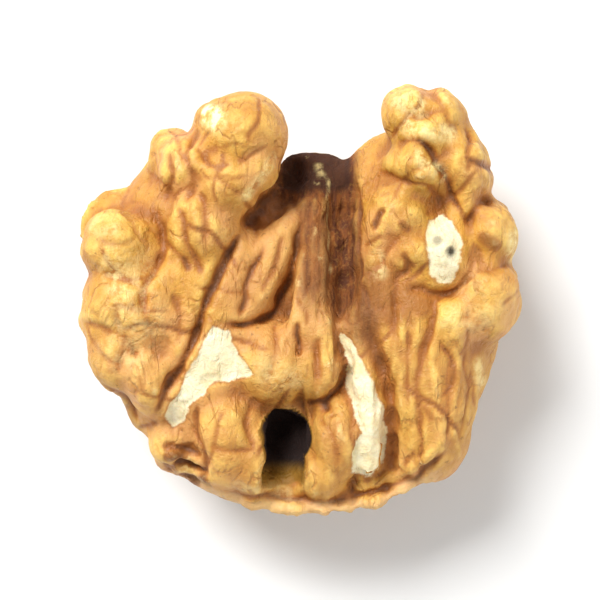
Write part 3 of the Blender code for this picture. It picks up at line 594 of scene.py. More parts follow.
@dataclass
class Sculptor:
    """Works the kernel like clay, with its points in millimetres.

    The voxel sizes say how finely the skin is melted before and after the deep folds. The cell
    sizes are those of the outer side's folds, and the lumps are the soft swells of the lobes. The
    strokes are pressed in twice, by the shares of the first and the last press.
    """

    shape: KernelShape = field(default_factory=KernelShape)
    rough_voxel: float = 0.3
    fine_voxel: float = 0.21
    cell_size: tuple[float, float, float] = (7.4, 3.3, 6.4)
    end_cell_width: float = 3.7
    cell_depth: float = 1.7
    bend_reach: float = 2.0
    bend_scale: float = 6.5
    lump_size: float = 3.9
    lump_depth: float = 0.26
    crinkle_depth: float = 0.07
    pleat_depth: float = 0.05
    first_press: float = 0.7
    last_press: float = 0.3
    veins: int = 90

    def melt(self, thing: bpy.types.Object, voxel: float, rounds: int) -> None:
        """Melts an object's bodies into one even skin and softens it.

        Args:
            thing: the object.
            voxel: the size of the skin's faces, in millimetres.
            rounds: how often the skin is softened.
        """
        activate(thing)
        merge = thing.modifiers.new("merge", "REMESH")
        merge.mode = "VOXEL"
        merge.voxel_size = voxel * MM
        bpy.ops.object.modifier_apply(modifier=merge.name)
        soften = thing.modifiers.new("soften", "SMOOTH")
        soften.factor = 0.5
        soften.iterations = rounds
        bpy.ops.object.modifier_apply(modifier=soften.name)

    def keep_largest(self, thing: bpy.types.Object) -> bpy.types.Object:
        """Drops the crumbs that the melting leaves, and returns the body."""
        activate(thing)
        bpy.ops.mesh.separate(type="LOOSE")
        parts = sorted(bpy.context.selected_objects, key=lambda part: len(part.data.vertices))
        for crumb in parts[:-1]:
            bpy.data.objects.remove(crumb)
        body = parts[-1]
        body.name = "walnut_kernel"
        activate(body)
        return body

    def rough_out(self) -> bpy.types.Object:
        """Builds the swellings and rods and melts them together.

        Returns:
            The kernel's rough body.
        """
        shape = self.shape
        things = [add_swelling(one) for one in shape.left + shape.right + shape.middle]
        things += [add_rod(one) for one in (*shape.rods, shape.rim)]
        bpy.ops.object.select_all(action="DESELECT")
        for thing in things:
            thing.select_set(True)
        bpy.context.view_layer.objects.active = things[0]
        bpy.ops.object.join()
        body = bpy.context.object
        body.name = "walnut_kernel"
        bpy.ops.object.transform_apply(location=True, rotation=True, scale=True)
        self.melt(body, self.rough_voxel, 3)
        return body

    def sink_pit(self, body: bpy.types.Object) -> None:
        """Cuts the blind pit between the lower bodies, and the slope that leads into it."""
        for rod in self.shape.pit:
            cutter = add_rod(rod)
            activate(body)
            cut = body.modifiers.new("pit", "BOOLEAN")
            cut.operation = "DIFFERENCE"
            cut.object = cutter
            bpy.ops.object.modifier_apply(modifier=cut.name)
            bpy.data.objects.remove(cutter)

    def cell_border(self, point: np.ndarray) -> float:
        """How near a point is to the border of its outer fold: 0 on it, 1 well inside."""
        place = Vector(point)
        bent = place + noise.noise_vector(place / self.bend_scale) * self.bend_reach
        end = min(max((abs(bent.y) - 7.0) / 6.0, 0.0), 1.0)
        width = self.cell_size[0] + (self.end_cell_width - self.cell_size[0]) * end
        cell = Vector((bent.x / width, bent.y / self.cell_size[1], bent.z / self.cell_size[2]))
        first, second = noise.voronoi(cell)[0][:2]
        return min(1.0, (second - first) / 0.42)

    def lump_border(self, point: np.ndarray) -> float:
        """How near a point is to the border of its soft lump: 0 on it, 1 well inside."""
        place = Vector(point)
        bent = place + noise.noise_vector(place / 4.0 + Vector((7.0, 3.0, 1.0))) * 1.4
        first, second = noise.voronoi(bent / self.lump_size)[0][:2]
        return min(1.0, (second - first) / 0.5)

    def fold(self, body: bpy.types.Object) -> None:
        """Presses the folds of the outer side and swells the lumps of the inner lobes."""
        points, normals = read_points(body.data)
        outer = soft_step(-normals[:, 2], -0.35, 0.2) * soft_step(-points[:, 2], -11.0, -7.5)
        outer *= 1.0 - 0.85 * soft_step(-self.rim_gap(points), -2.6, -1.0)
        lobes = soft_step(np.abs(points[:, 0] + 0.6), 4.5, 7.0) * (1.0 - outer)
        lobes *= 1.0 - 0.75 * soft_step(-points[:, 1], 1.0, 4.0) * soft_step(points[:, 0], 4.0, 6.0)
        folds = np.array([self.cell_border(point) for point in points])
        lumps = np.array([self.lump_border(point) for point in points])
        seam = np.exp(-((points[:, 0] / 1.5) ** 2)) * soft_step(-points[:, 2], -7.0, -4.0)
        depth = self.cell_depth * np.maximum((1.0 - folds) ** 1.6, 0.8 * seam) * outer
        depth += self.lump_depth * (1.0 - lumps) ** 1.5 * lobes
        write_points(body.data, points - depth[:, None] * normals)

    def press(self, body: bpy.types.Object, strokes: tuple[Stroke, ...], share: float) -> np.ndarray:
        """Presses strokes into the skin.

        Args:
            body: the kernel.
            strokes: the strokes.
            share: how much of each stroke's depth is pressed.

        Returns:
            How stained each point is by the strokes, from 0 to 1.
        """
        skin = BVHTree.FromObject(body, bpy.context.evaluated_depsgraph_get())
        points, normals = read_points(body.data)
        depth = np.zeros(len(points))
        stain = np.zeros(len(points))
        for stroke in strokes:
            near, gap, fade = stroke_reach(stroke, skin, points)
            width = stroke.half_width * (0.7 + 0.3 * fade)
            crease = np.exp(-gap / (0.6 * width))
            shoulder = np.exp(-((gap / (1.9 * width)) ** 2))
            profile = 0.55 * crease + 0.45 * shoulder
            cut = stroke.depth * profile * fade
            depth[near] = np.where(np.abs(cut) > np.abs(depth[near]), cut, depth[near])
            line = np.exp(-((gap / (0.55 * width + 0.1)) ** 2)) + 0.28 * np.exp(-gap / (1.6 * width))
            stain[near] = np.maximum(stain[near], stroke.stain * np.clip(line * fade, 0.0, 1.0))
        write_points(body.data, points - share * depth[:, None] * normals)
        return stain

    def touch(self, body: bpy.types.Object, strokes: tuple[Stroke, ...]) -> np.ndarray:
        """Works out how strongly soft touches of colour cover each point, from 0 to 1."""
        skin = BVHTree.FromObject(body, bpy.context.evaluated_depsgraph_get())
        points, _ = read_points(body.data)
        strength = np.zeros(len(points))
        for stroke in strokes:
            near, gap, _ = stroke_reach(stroke, skin, points)
            cover = stroke.stain * soft_step(-gap, -1.5 * stroke.half_width, -0.3 * stroke.half_width)
            strength[near] = np.maximum(strength[near], cover)
        return strength

    def wrinkle(self, body: bpy.types.Object) -> None:
        """Adds the wrinkles of the dried skin, and the streaks that run along the middle."""
        points, normals = read_points(body.data)
        x, y, _ = points.T
        streaked = soft_step(x, -1.4, 0.2) * soft_step(-y, -9.5, -7.5)
        streaked *= 1.0 - soft_step(x, 3.6, 4.6) * soft_step(y, -1.5, 1.0)
        streaked *= soft_step(normals[:, 2], 0.0, 0.5) * soft_step(-np.abs(x - 5.0), -7.0, -5.6)
        rimmed = self.rim_share(points)
        pitted = self.pit_share(points, 0.5)
        rise = np.empty(len(points))
        for index, point in enumerate(points):
            place = Vector(point)
            bent = place + noise.noise_vector(place / 3.0) * 0.9
            crinkle = noise.ridged_multi_fractal(bent / 2.4, 1.0, 2.1, 2.0, 0.9, 2.0) - 1.2
            along = Vector((bent.x / 1.0, bent.y / 2.6, bent.z / 1.7))
            pleat = noise.ridged_multi_fractal(along, 1.0, 2.0, 2.0, 0.9, 2.0) - 1.2
            fine = noise.noise(place / 0.55)
            streak = noise.noise(Vector((bent.x / 0.5, bent.y / 5.0, bent.z / 2.0)))
            swell = -self.crinkle_depth * crinkle - self.pleat_depth * pleat
            curl = noise.noise(place / 1.1) + 0.5 * noise.noise(place / 0.5)
            rise[index] = swell + 0.03 * fine + 0.2 * streak * streaked[index] + 0.3 * curl * rimmed[index]
            rise[index] += 0.45 * noise.noise(place / 1.7) * pitted[index]
        write_points(body.data, points + rise[:, None] * normals)

    def rim_gap(self, points: np.ndarray) -> np.ndarray:
        """How far each point is from the middle of the thin lower rim, in millimetres."""
        return path_reach(points, smooth_path(tuple(point[:3] for point in self.shape.rim.points)))[0]

    def rim_share(self, points: np.ndarray) -> np.ndarray:
        """How near each point is to the thin lower rim, from 0 to 1 on it."""
        wander = np.array([noise.noise(Vector(point) / 1.2) for point in points])
        share = soft_step(-self.rim_gap(points) + 0.3 * wander, -1.0, -0.5)
        share *= soft_step(points[:, 2] + 0.9 * wander, 7.1, 8.4)
        return share * soft_step(-np.abs(points[:, 0] - 1.0), -9.6, -7.4)

    def pit_share(self, points: np.ndarray, edge: float) -> np.ndarray:
        """How surely each point is on the pit's wall, from 0 to 1, with an edge in millimetres."""
        inside = np.zeros(len(points))
        for rod in self.shape.pit:
            gap, _ = path_reach(points, [np.array(point[:3]) for point in rod.points])
            wide = max(point[3] for point in rod.points) + 0.05
            inside = np.maximum(inside, soft_step(-gap, -wide - edge, -wide))
        return inside * soft_step(points[:, 2], 4.8, 5.4)

    def open_patches(self, body: bpy.types.Object) -> np.ndarray:
        """Breaks the skin away at the patches.

        Args:
            body: the kernel.

        Returns:
            How far each point lies inside a patch, in millimetres, and below 0 outside.
        """
        points, normals = read_points(body.data)
        inside = np.full(len(points), -1.0)
        top = np.flatnonzero((normals[:, 2] > -0.2) & (points[:, 2] > 6.5))
        places = [Vector(point) for point in points[top]]
        wander = np.array([noise.noise(place / 0.9) for place in places])
        chips = np.array([noise.noise(place / 1.1) + 0.3 * noise.noise(place / 0.4) for place in places])
        depth = np.zeros(len(points))
        for patch in self.shape.patches:
            reach = outline_depth(points[top, :2], patch.outline) + 0.2 * wander
            inside[top] = np.maximum(inside[top], np.clip(reach, -1.0, 1.0))
            sunk = patch.depth * (1.0 + 0.6 * chips) * soft_step(reach, -0.05, 0.2)
            depth[top] = np.maximum(depth[top], sunk)
        write_points(body.data, points - depth[:, None] * normals)
        return inside

    def fit(self, body: bpy.types.Object, low: Vector, high: Vector) -> None:
        """Brings the kernel to the size and place of its solid."""
        points, _ = read_points(body.data)
        start = points.min(axis=0)
        size = points.max(axis=0) - start
        goal = np.array(high) - np.array(low)
        write_points(body.data, (points - start) / size * goal / MM + np.array(low) / MM)

    def hollows(self, mesh: bpy.types.Mesh, rounds: int) -> np.ndarray:
        """Measures how hollow the skin is at each point.

        Args:
            mesh: the mesh.
            rounds: how wide a neighbourhood is looked at, in rounds of smoothing.

        Returns:
            How far, in millimetres, each point lies below its neighbourhood.
        """
        points, normals = read_points(mesh)
        ends = np.empty(len(mesh.edges) * 2, dtype=np.int64)
        mesh.edges.foreach_get("vertices", ends)
        first, second = ends.reshape(-1, 2).T
        count = np.bincount(first, minlength=len(points)) + np.bincount(second, minlength=len(points))
        smooth = points.copy()
        for _ in range(rounds):
            total = np.empty_like(smooth)
            for axis in range(3):
                total[:, axis] = np.bincount(first, smooth[second, axis], len(points))
                total[:, axis] += np.bincount(second, smooth[first, axis], len(points))
            smooth = 0.5 * smooth + 0.5 * total / count[:, None]
        return np.einsum("ij,ij->i", smooth - points, normals)


def outline_depth(points: np.ndarray, outline: Path) -> np.ndarray:
    """Measures how far flat points lie inside an outline.

    Args:
        points: the points, as (x, y).
        outline: the corners of the outline.

    Returns:
        The distance to the outline, above 0 inside it and below 0 outside.
    """
    corners = [np.array(corner, float) for corner in outline]
    nearest = np.full(len(points), np.inf)
    inside = np.zeros(len(points), dtype=bool)
    for start, stop in zip(corners, corners[1:] + corners[:1]):
        run = stop - start
        share = np.clip((points - start) @ run / (run @ run), 0.0, 1.0)
        nearest = np.minimum(nearest, np.linalg.norm(points - start - share[:, None] * run, axis=1))
        spans = (start[1] > points[:, 1]) != (stop[1] > points[:, 1])
        with np.errstate(divide="ignore", invalid="ignore"):
            crossing = start[0] + (points[:, 1] - start[1]) / run[1] * run[0]
        inside ^= spans & (points[:, 0] < crossing)
    return np.where(inside, nearest, -nearest)


def store(mesh: bpy.types.Mesh, name: str, values: np.ndarray) -> None:
    """Keeps one value for each point under a name that the materials read."""
    layer = mesh.attributes.new(name, "FLOAT", "POINT")
    layer.data.foreach_set("value", values.astype(np.float32))


class Nodes:
    """A small helper that builds a material's nodes."""

    def __init__(self, name: str) -> None:
        """Starts a material with a Principled shader."""
        self.material = bpy.data.materials.new(name)
        self.material.use_nodes = True
        self.tree = self.material.node_tree
        self.shader = self.tree.nodes["Principled BSDF"]

    def add(self, kind: str, **settings: object) -> bpy.types.Node:
        """Adds a node of a kind with its settings."""
        node = self.tree.nodes.new(kind)
        for name, value in settings.items():
            setattr(node, name, value)
        return node

    def link(self, source: Socket, target: Socket) -> None:
        """Links two sockets."""
        self.tree.links.new(source, target)

    def attribute(self, name: str) -> Socket:
        """The value that the mesh keeps under a name."""
        return self.add("ShaderNodeAttribute", attribute_name=name).outputs["Fac"]

    def math(self, operation: str, first: object, second: object = 0.0, clamp: bool = False) -> Socket:
        """Works out one sum.

        Args:
            operation: the sum's name.
            first: a socket or a number.
            second: a socket or a number.
            clamp: whether the result is kept between 0 and 1.

        Returns:
            The result's socket.
        """
        node = self.add("ShaderNodeMath", operation=operation, use_clamp=clamp)
        for socket, value in zip(node.inputs, (first, second)):
            if isinstance(value, Socket):
                self.link(value, socket)
            else:
                socket.default_value = value
        return node.outputs[0]

    def span(self, value: Socket, low: float, high: float) -> Socket:
        """A soft S from 0 at low to 1 at high."""
        node = self.add("ShaderNodeMapRange", interpolation_type="SMOOTHSTEP")
        self.link(value, node.inputs["Value"])
        node.inputs["From Min"].default_value = low
        node.inputs["From Max"].default_value = high
        return node.outputs["Result"]

    def mix(self, share: object, first: object, second: object, blend: str = "MIX") -> Socket:
        """Mixes two colours.

        Args:
            share: a socket or a number, how much of the second colour is taken.
            first: a socket or a colour.
            second: a socket or a colour.
            blend: how the colours are mixed.

        Returns:
            The mixed colour's socket.
        """
        node = self.add("ShaderNodeMix", data_type="RGBA", blend_type=blend)
        for socket, value in ((node.inputs[0], share), (node.inputs[6], first), (node.inputs[7], second)):
            if isinstance(value, Socket):
                self.link(value, socket)
            elif isinstance(value, tuple):
                socket.default_value = (*value, 1.0)
            else:
                socket.default_value = value
        return node.outputs[2]

    def tint(self, colour: Socket, share: Socket, amount: float, second: Colour) -> Socket:
        """Lays a second colour over a colour, as far as a share and an amount say."""
        return self.mix(self.math("MULTIPLY", share, amount), colour, second)

    def place(self, stretch: tuple[float, float, float] = (1.0, 1.0, 1.0)) -> Socket:
        """The place on the object in metres, with each axis stretched."""
        source = self.add("ShaderNodeTexCoord")
        mapping = self.add("ShaderNodeMapping")
        self.link(source.outputs["Object"], mapping.inputs["Vector"])
        mapping.inputs["Scale"].default_value = stretch
        return mapping.outputs["Vector"]

    def noise(
        self, place: Socket, size: float, detail: float = 3.0, rough: float = 0.5, bend: float = 0.0
    ) -> Socket:
        """A noise with features of a size.

        Args:
            place: where the noise is read.
            size: the size of its features, in millimetres.
            detail: how many finer layers it has.
            rough: how strong they are.
            bend: how much it is bent.

        Returns:
            The noise's socket, from 0 to 1.
        """
        node = self.add("ShaderNodeTexNoise")
        self.link(place, node.inputs["Vector"])
        node.inputs["Scale"].default_value = 1.0 / (size * MM)
        node.inputs["Detail"].default_value = detail
        node.inputs["Roughness"].default_value = rough
        node.inputs["Distortion"].default_value = bend
        return node.outputs["Fac"]


@dataclass(frozen=True)
class WalnutSkin:
    """The kernel's skin and the flesh that shows where it is broken: colours are linear RGB."""

    honey: Colour = (0.67, 0.335, 0.05)
    tan: Colour = (0.50, 0.22, 0.034)
    # Straw and pale paint the highlights on the crests; pale also lightens the places where the skin is worn
    # thin.
    straw: Colour = (0.87, 0.55, 0.125)
    pale: Colour = (0.94, 0.74, 0.31)
    # Rust and brown are the skin's own stains, lines and freckles, and also the painted shade in its hollows.
    rust: Colour = (0.38, 0.13, 0.022)
    brown: Colour = (0.14, 0.045, 0.009)
    # Dark is only the painted shade deep in the notch between the lobes.
    dark: Colour = (0.05, 0.017, 0.008)
    olive: Colour = (0.27, 0.13, 0.013)
    clay: Colour = (0.62, 0.30, 0.10)
    peach: Colour = (0.80, 0.41, 0.16)
    moss: Colour = (0.60, 0.37, 0.05)
    cream: Colour = (0.92, 0.84, 0.57)
    butter: Colour = (0.80, 0.66, 0.36)
    oat: Colour = (0.66, 0.50, 0.25)
    paper: Colour = (0.74, 0.46, 0.20)
    speck: Colour = (0.06, 0.05, 0.03)
    # Shade, umber and dust colour the dusty dark skin between the lobes, under the notch's painted shade.
    shade: Colour = (0.095, 0.025, 0.006)
    umber: Colour = (0.25, 0.078, 0.012)
    dust: Colour = (0.38, 0.18, 0.035)
    # The colour of the pit's painted shade.
    pit_shade: Colour = (0.014, 0.004, 0.002)
    rough: float = 0.46

    def build(self) -> bpy.types.Material:
        """Makes the material."""
        nodes = Nodes("walnut_skin")
        place = nodes.place()
        colour = self.skin(nodes, place)
        colour = self.stains(nodes, place, colour)
        # Dusty dark skin between the lobes, with painted shade in the notch.
        colour = nodes.mix(nodes.attribute("dust_and_shade"), colour, self.dust_and_shade(nodes))
        colour = self.rubs_and_highlights(nodes, place, colour)
        colour = self.hole(nodes, colour)
        colour = nodes.tint(colour, nodes.attribute("paper"), 0.7, self.paper)
        colour = self.broken(nodes, place, colour)
        nodes.link(colour, nodes.shader.inputs["Base Color"])
        gloss = nodes.math("MULTIPLY_ADD", nodes.noise(place, 0.8, 4.0, 0.6), 0.4)
        gloss.node.inputs[2].default_value = self.rough - 0.16
        dull = nodes.math("MAXIMUM", nodes.attribute("pit"), nodes.attribute("dust_and_shade"))
        gloss = nodes.math("ADD", gloss, nodes.math("MULTIPLY", dull, 0.35), clamp=True)
        nodes.link(gloss, nodes.shader.inputs["Roughness"])
        nodes.link(self.relief(nodes, place), nodes.shader.inputs["Normal"])
        nodes.shader.inputs["Subsurface Weight"].default_value = 0.1
        nodes.shader.inputs["Subsurface Radius"].default_value = (1.0, 0.45, 0.2)
        nodes.shader.inputs["Subsurface Scale"].default_value = 0.7 * MM
        nodes.shader.inputs["Specular IOR Level"].default_value = 0.4
        return nodes.material

    def skin(self, nodes: Nodes, place: Socket) -> Socket:
        """The skin's colour: honey and tan, straw painted as highlight on the crests, and rust and brown
        painted as shade in the hollows.
        """
        broad = nodes.noise(place, 5.0, 3.0, 0.6)
        colour = nodes.mix(nodes.span(broad, 0.35, 0.68), self.tan, self.honey)
        blush = nodes.noise(nodes.place((0.8, 0.6, 1.0)), 4.2, 2.0, 0.5)
        colour = nodes.tint(colour, nodes.span(blush, 0.48, 0.62), 0.5, self.peach)
        colour = nodes.tint(colour, nodes.span(blush, 0.46, 0.34), 0.3, self.moss)
        # Painted highlight: the convex crests are laid over with straw, where light would catch them.
        crest_light = nodes.span(nodes.attribute("swell"), 0.0, 0.3)
        patchy = nodes.span(nodes.noise(place, 2.2, 4.0, 0.65), 0.34, 0.66)
        colour = nodes.mix(nodes.math("MULTIPLY", crest_light, patchy), colour, self.straw)
        blotch = nodes.span(nodes.noise(place, 1.7, 3.0, 0.65), 0.52, 0.72)
        colour = nodes.tint(colour, blotch, 0.4, self.rust)
        streaks = nodes.noise(nodes.place((1.0, 0.3, 0.6)), 0.38, 3.0, 0.65)
        colour = nodes.tint(colour, nodes.span(streaks, 0.5, 0.75), 0.4, self.tan)
        colour = nodes.tint(colour, nodes.attribute("clay"), 0.6, self.clay)
        # Painted shade: the hollows and deep creases are darkened with rust and brown, where shade falls in
        # them.
        crease_shade = nodes.span(nodes.attribute("hollow"), 0.0, 0.22)
        colour = nodes.tint(colour, crease_shade, 0.75, self.rust)
        deep = nodes.span(nodes.attribute("hollow"), 0.16, 0.6)
        return nodes.tint(colour, deep, 0.85, self.brown)

    def stains(
        self, nodes: Nodes, place: Socket, colour: Socket
    ) -> Socket:
        """The brown lines of the folds, the fine veins and the freckles."""
        stain = nodes.attribute("stain")
        colour = nodes.tint(colour, nodes.span(stain, 0.0, 0.45), 0.8, self.rust)
        colour = nodes.tint(colour, nodes.span(stain, 0.3, 0.9), 0.85, self.brown)
        colour = nodes.tint(colour, self.veins(nodes, 2.4, 0.03), 0.45, self.rust)
        colour = nodes.tint(colour, self.veins(nodes, 4.2, 0.022), 0.4, self.rust)
        freckles = nodes.span(nodes.noise(place, 0.42, 2.0, 0.5), 0.67, 0.75)
        return nodes.tint(colour, freckles, 0.45, self.brown)

    def veins(self, nodes: Nodes, size: float, width: float) -> Socket:
        """The fine lines of the skin, which wander along it and fade in and out.

        Args:
            nodes: the material's nodes.
            size: how far apart the lines lie, in millimetres.
            width: how wide they are, as a share of the noise's height.

        Returns:
            A socket that is 1 on a line.
        """
        flow = nodes.noise(nodes.place((1.0, 0.45, 0.7)), size, 3.0, 0.55, 0.5)
        gap = nodes.math("ABSOLUTE", nodes.math("SUBTRACT", flow, 0.5))
        line = nodes.span(gap, width, 0.15 * width)
        broken = nodes.span(nodes.noise(nodes.place(), 1.9, 2.0), 0.42, 0.6)
        return nodes.math("MULTIPLY", line, broken)

    def rubs_and_highlights(
        self, nodes: Nodes, place: Socket, colour: Socket
    ) -> Socket:
        """The pale places where the skin is worn thin, and painted highlights on the crests."""
        grain = nodes.span(nodes.noise(place, 0.9, 4.0, 0.7), 0.36, 0.62)
        # The listed pale touches: worn skin and painted highlights.
        pale_touch = nodes.math("MULTIPLY", nodes.attribute("rub_and_highlight"), grain)
        # Painted highlight: the highest crests get pale spots of light.
        crest_light = nodes.span(nodes.attribute("swell"), 0.22, 0.45)
        crest_highlight = nodes.math("MULTIPLY", crest_light, nodes.span(nodes.noise(place, 1.2, 5.0, 0.7), 0.5, 0.66))
        share = nodes.math("MAXIMUM", pale_touch, nodes.math("MULTIPLY", crest_highlight, 0.6))
        colour = nodes.mix(share, colour, self.pale)
        return nodes.tint(colour, nodes.span(pale_touch, 0.75, 1.0), 0.7, self.cream)

    def hole(self, nodes: Nodes, colour: Socket) -> Socket:
        """The pit's olive wall, and painted shade that darkens its depth."""
        pit = nodes.attribute("pit")
        colour = nodes.mix(nodes.span(pit, 0.0, 0.2), colour, self.olive)
        # Painted shade: the pit's depth, most on its +Y side, is laid over with the darkest colour.
        return nodes.mix(nodes.span(pit, 0.2, 0.85), colour, self.pit_shade)

    def broken(
        self, nodes: Nodes, place: Socket, colour: Socket
    ) -> Socket:
        """The flesh that shows where the skin is broken away, and the skin's brown edge round it."""
        ragged = nodes.math("SUBTRACT", nodes.noise(place, 0.5, 3.0, 0.6), 0.5)
        reach = nodes.math("ADD", nodes.attribute("flesh"), nodes.math("MULTIPLY", ragged, 0.35))
        rim = nodes.span(reach, -0.2, 0.0)
        colour = nodes.tint(colour, rim, 0.4, self.rust)
        flesh = nodes.mix(nodes.attribute("dot"), self.flesh(nodes, place), self.speck)
        return nodes.mix(nodes.span(reach, -0.02, 0.14), colour, flesh)

    def dust_and_shade(self, nodes: Nodes) -> Socket:
        """The dark, dusty colour between the lobes, and painted shade darkest deep in the notch."""
        streaks = nodes.noise(nodes.place((1.0, 0.18, 0.5)), 0.35, 3.0, 0.6)
        base = nodes.mix(nodes.span(streaks, 0.35, 0.7), self.shade, self.umber)
        dust = nodes.span(nodes.noise(nodes.place(), 0.28, 3.0, 0.65), 0.52, 0.68)
        base = nodes.tint(base, dust, 0.36, self.dust)
        # Painted shade: where the share rises above 1, deep in the notch, the colour is darkened most.
        deep = nodes.span(nodes.attribute("dust_and_shade"), 1.0, 1.6)
        return nodes.tint(base, deep, 0.9, self.dark)

    def flesh(self, nodes: Nodes, place: Socket) -> Socket:
        """The pale flesh under the skin."""
        tint = nodes.span(nodes.noise(place, 1.3, 3.0, 0.6), 0.35, 0.7)
        colour = nodes.mix(tint, self.cream, self.butter)
        grain = nodes.span(nodes.noise(place, 0.3, 3.0, 0.7), 0.5, 0.7)
        return nodes.tint(colour, grain, 0.35, self.oat)

    def relief(self, nodes: Nodes, place: Socket) -> Socket:
        """The fine wrinkles and grain of the skin, as a bent normal."""
        wrinkles = nodes.noise(nodes.place((1.0, 0.45, 0.7)), 0.7, 4.0, 0.55, 0.6)
        creases = nodes.math("ABSOLUTE", nodes.math("SUBTRACT", nodes.noise(place, 1.0, 4.0, 0.6, 0.8), 0.5))
        grain = nodes.noise(place, 0.12, 2.0, 0.6)
        height = nodes.math("MULTIPLY_ADD", grain, 0.22)
        nodes.link(wrinkles, height.node.inputs[2])
        height = nodes.math("ADD", height, nodes.math("MULTIPLY", creases, 1.1))
        lines = nodes.math("ADD", self.veins(nodes, 2.4, 0.03), self.veins(nodes, 4.2, 0.022))
        height = nodes.math("SUBTRACT", height, nodes.math("MULTIPLY", lines, 0.3))
        bump = nodes.add("ShaderNodeBump")
        bump.inputs["Strength"].default_value = 0.9
        bump.inputs["Distance"].default_value = 0.2 * MM
        nodes.link(height, bump.inputs["Height"])
        return bump.outputs["Normal"]


@dataclass
class WalnutKernel:
    """The whole kernel: one piece that stands for its solid."""

    sculptor: Sculptor = field(default_factory=Sculptor)
    skin: WalnutSkin = field(default_factory=WalnutSkin)
    close_rounds: int = 10
    wide_rounds: int = 70
    piece: bpy.types.Object | None = None

    def model(self) -> None:
        """Sculpts the kernel."""
        noise.seed_set(NOISE_SEED)
        work = self.sculptor
        body = work.rough_out()
        work.sink_pit(body)
        work.melt(body, work.rough_voxel, 1)
        work.fold(body)
        work.press(body, work.shape.strokes, work.first_press)
        work.melt(body, work.fine_voxel, 1)
        body = work.keep_largest(body)
        stain = work.press(body, work.shape.strokes, work.last_press)
        veins = grow_veins(Face.INNER, work.veins) + grow_veins(Face.OUTER, work.veins)
        stain = np.maximum(stain, work.press(body, veins, 1.0))
        stain = np.maximum(stain, work.touch(body, work.shape.spots))
        store(body.data, "stain", stain)
        store(body.data, "rub_and_highlight", work.touch(body, work.shape.rubs_and_highlights))
        work.wrinkle(body)
        store(body.data, "flesh", work.open_patches(body))
        self.mark(body.data)
        work.fit(body, *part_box(NODE))
        body.data.shade_smooth()
        self.piece = body

    def mark(self, mesh: bpy.types.Mesh) -> None:
        """Keeps where the mesh is hollow, swollen, dusty, painted dark, papery and dotted."""
        points, _ = read_points(mesh)
        close = self.sculptor.hollows(mesh, self.close_rounds)
        wide = self.sculptor.hollows(mesh, self.wide_rounds)
        # Painted shade goes where it is hollow, and painted highlights where it swells.
        store(mesh, "hollow", np.clip(close * 2.5, 0.0, 1.0) + np.clip(wide * 0.8, 0.0, 1.0))
        store(mesh, "swell", np.clip(-close * 2.0, 0.0, 1.0) + np.clip(-wide * 0.6, 0.0, 1.0))
        store(mesh, "dust_and_shade", self.dust_and_shade(points))
        store(mesh, "clay", self.clay(points))
        store(mesh, "pit", self.pit(points))
        store(mesh, "paper", self.sculptor.rim_share(points))
        store(mesh, "dot", self.dots(points))

    def clay(self, points: np.ndarray) -> np.ndarray:
        """How pinkish each point is by lying on the flap and the ribs of the middle, from 0 to 1."""
        reach = np.hypot((points[:, 0] + 1.3) / 4.6, (points[:, 1] - 1.6) / 6.4)
        flap = soft_step(-reach, -1.1, -0.7) * soft_step(points[:, 2], 5.0, 7.0)
        return np.maximum(flap, 0.35 * soft_step(-points[:, 1], 0.0, 5.0))

    def dust_and_shade(self, points: np.ndarray) -> np.ndarray:
        """How dusty and dark each point is between the lobes, 0 to 1, and past 1 for the notch's painted
        shade.
        """
        x, y, z = points.T
        band = soft_step(x, 1.6, 2.1) * soft_step(-x, -4.3, -3.3) * soft_step(y, -2.6, 0.6)
        slope = 0.58 * soft_step(-np.hypot((x - 4.0) / 1.7, (y + 0.4) / 3.6), -1.15, -0.5)
        midrib = 0.72 * soft_step(x, -0.6, 0.3) * soft_step(-x, -2.2, -1.7) * soft_step(y, -2.4, 1.5)
        # Painted shade in the notch: its share is raised past 1 so that the material darkens it most.
        notch = soft_step(y, 5.4, 8.4) * soft_step(-np.abs(x - 1.0), -3.2, -1.9) * soft_step(-z, -10.4, -8.6)
        dark = np.maximum.reduce((band, slope, midrib, 1.8 * notch))
        return dark * soft_step(z, 2.0, 5.0) * soft_step(-z, -12.0, -10.6)

    def pit(self, points: np.ndarray) -> np.ndarray:
        """How far each point is in the pit's painted shade: 0 at the mouth, up to 1 on its +Y side, little on
        its -Y side.
        """
        inside = self.sculptor.pit_share(points, 0.15) * soft_step(-points[:, 2], -10.6, -9.6)
        # The painted shade is graded along Y, strongest on the +Y side of the pit.
        return inside * (0.15 + 0.85 * soft_step(points[:, 1], -12.3, -10.3))

    def dots(self, points: np.ndarray) -> np.ndarray:
        """How dark the small round dots make each point, from 0 to 1."""
        dark = np.zeros(len(points))
        for x, y, radius, strength in self.sculptor.shape.dots:
            gap = np.hypot(points[:, 0] - x, points[:, 1] - y)
            dark = np.maximum(dark, strength * soft_step(-gap, -radius, -0.4 * radius))
        return dark * soft_step(points[:, 2], 7.0, 8.0)

    def dress(self) -> None:
        """Gives the kernel its skin and ties it to its solid."""
        self.piece.data.materials.clear()
        self.piece.data.materials.append(self.skin.build())
        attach(self.piece, "root")
        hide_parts(NODE)
        triangles = sum(len(face.vertices) - 2 for face in self.piece.data.polygons)
        LOG.info("%s: %d triangles", self.piece.name, triangles)


@dataclass(frozen=True)
class Lamp:
    """A soft square light: its place and side in metres, and its power in watts."""

    name: str
    place: tuple[float, float, float]
    size: float
    power: float


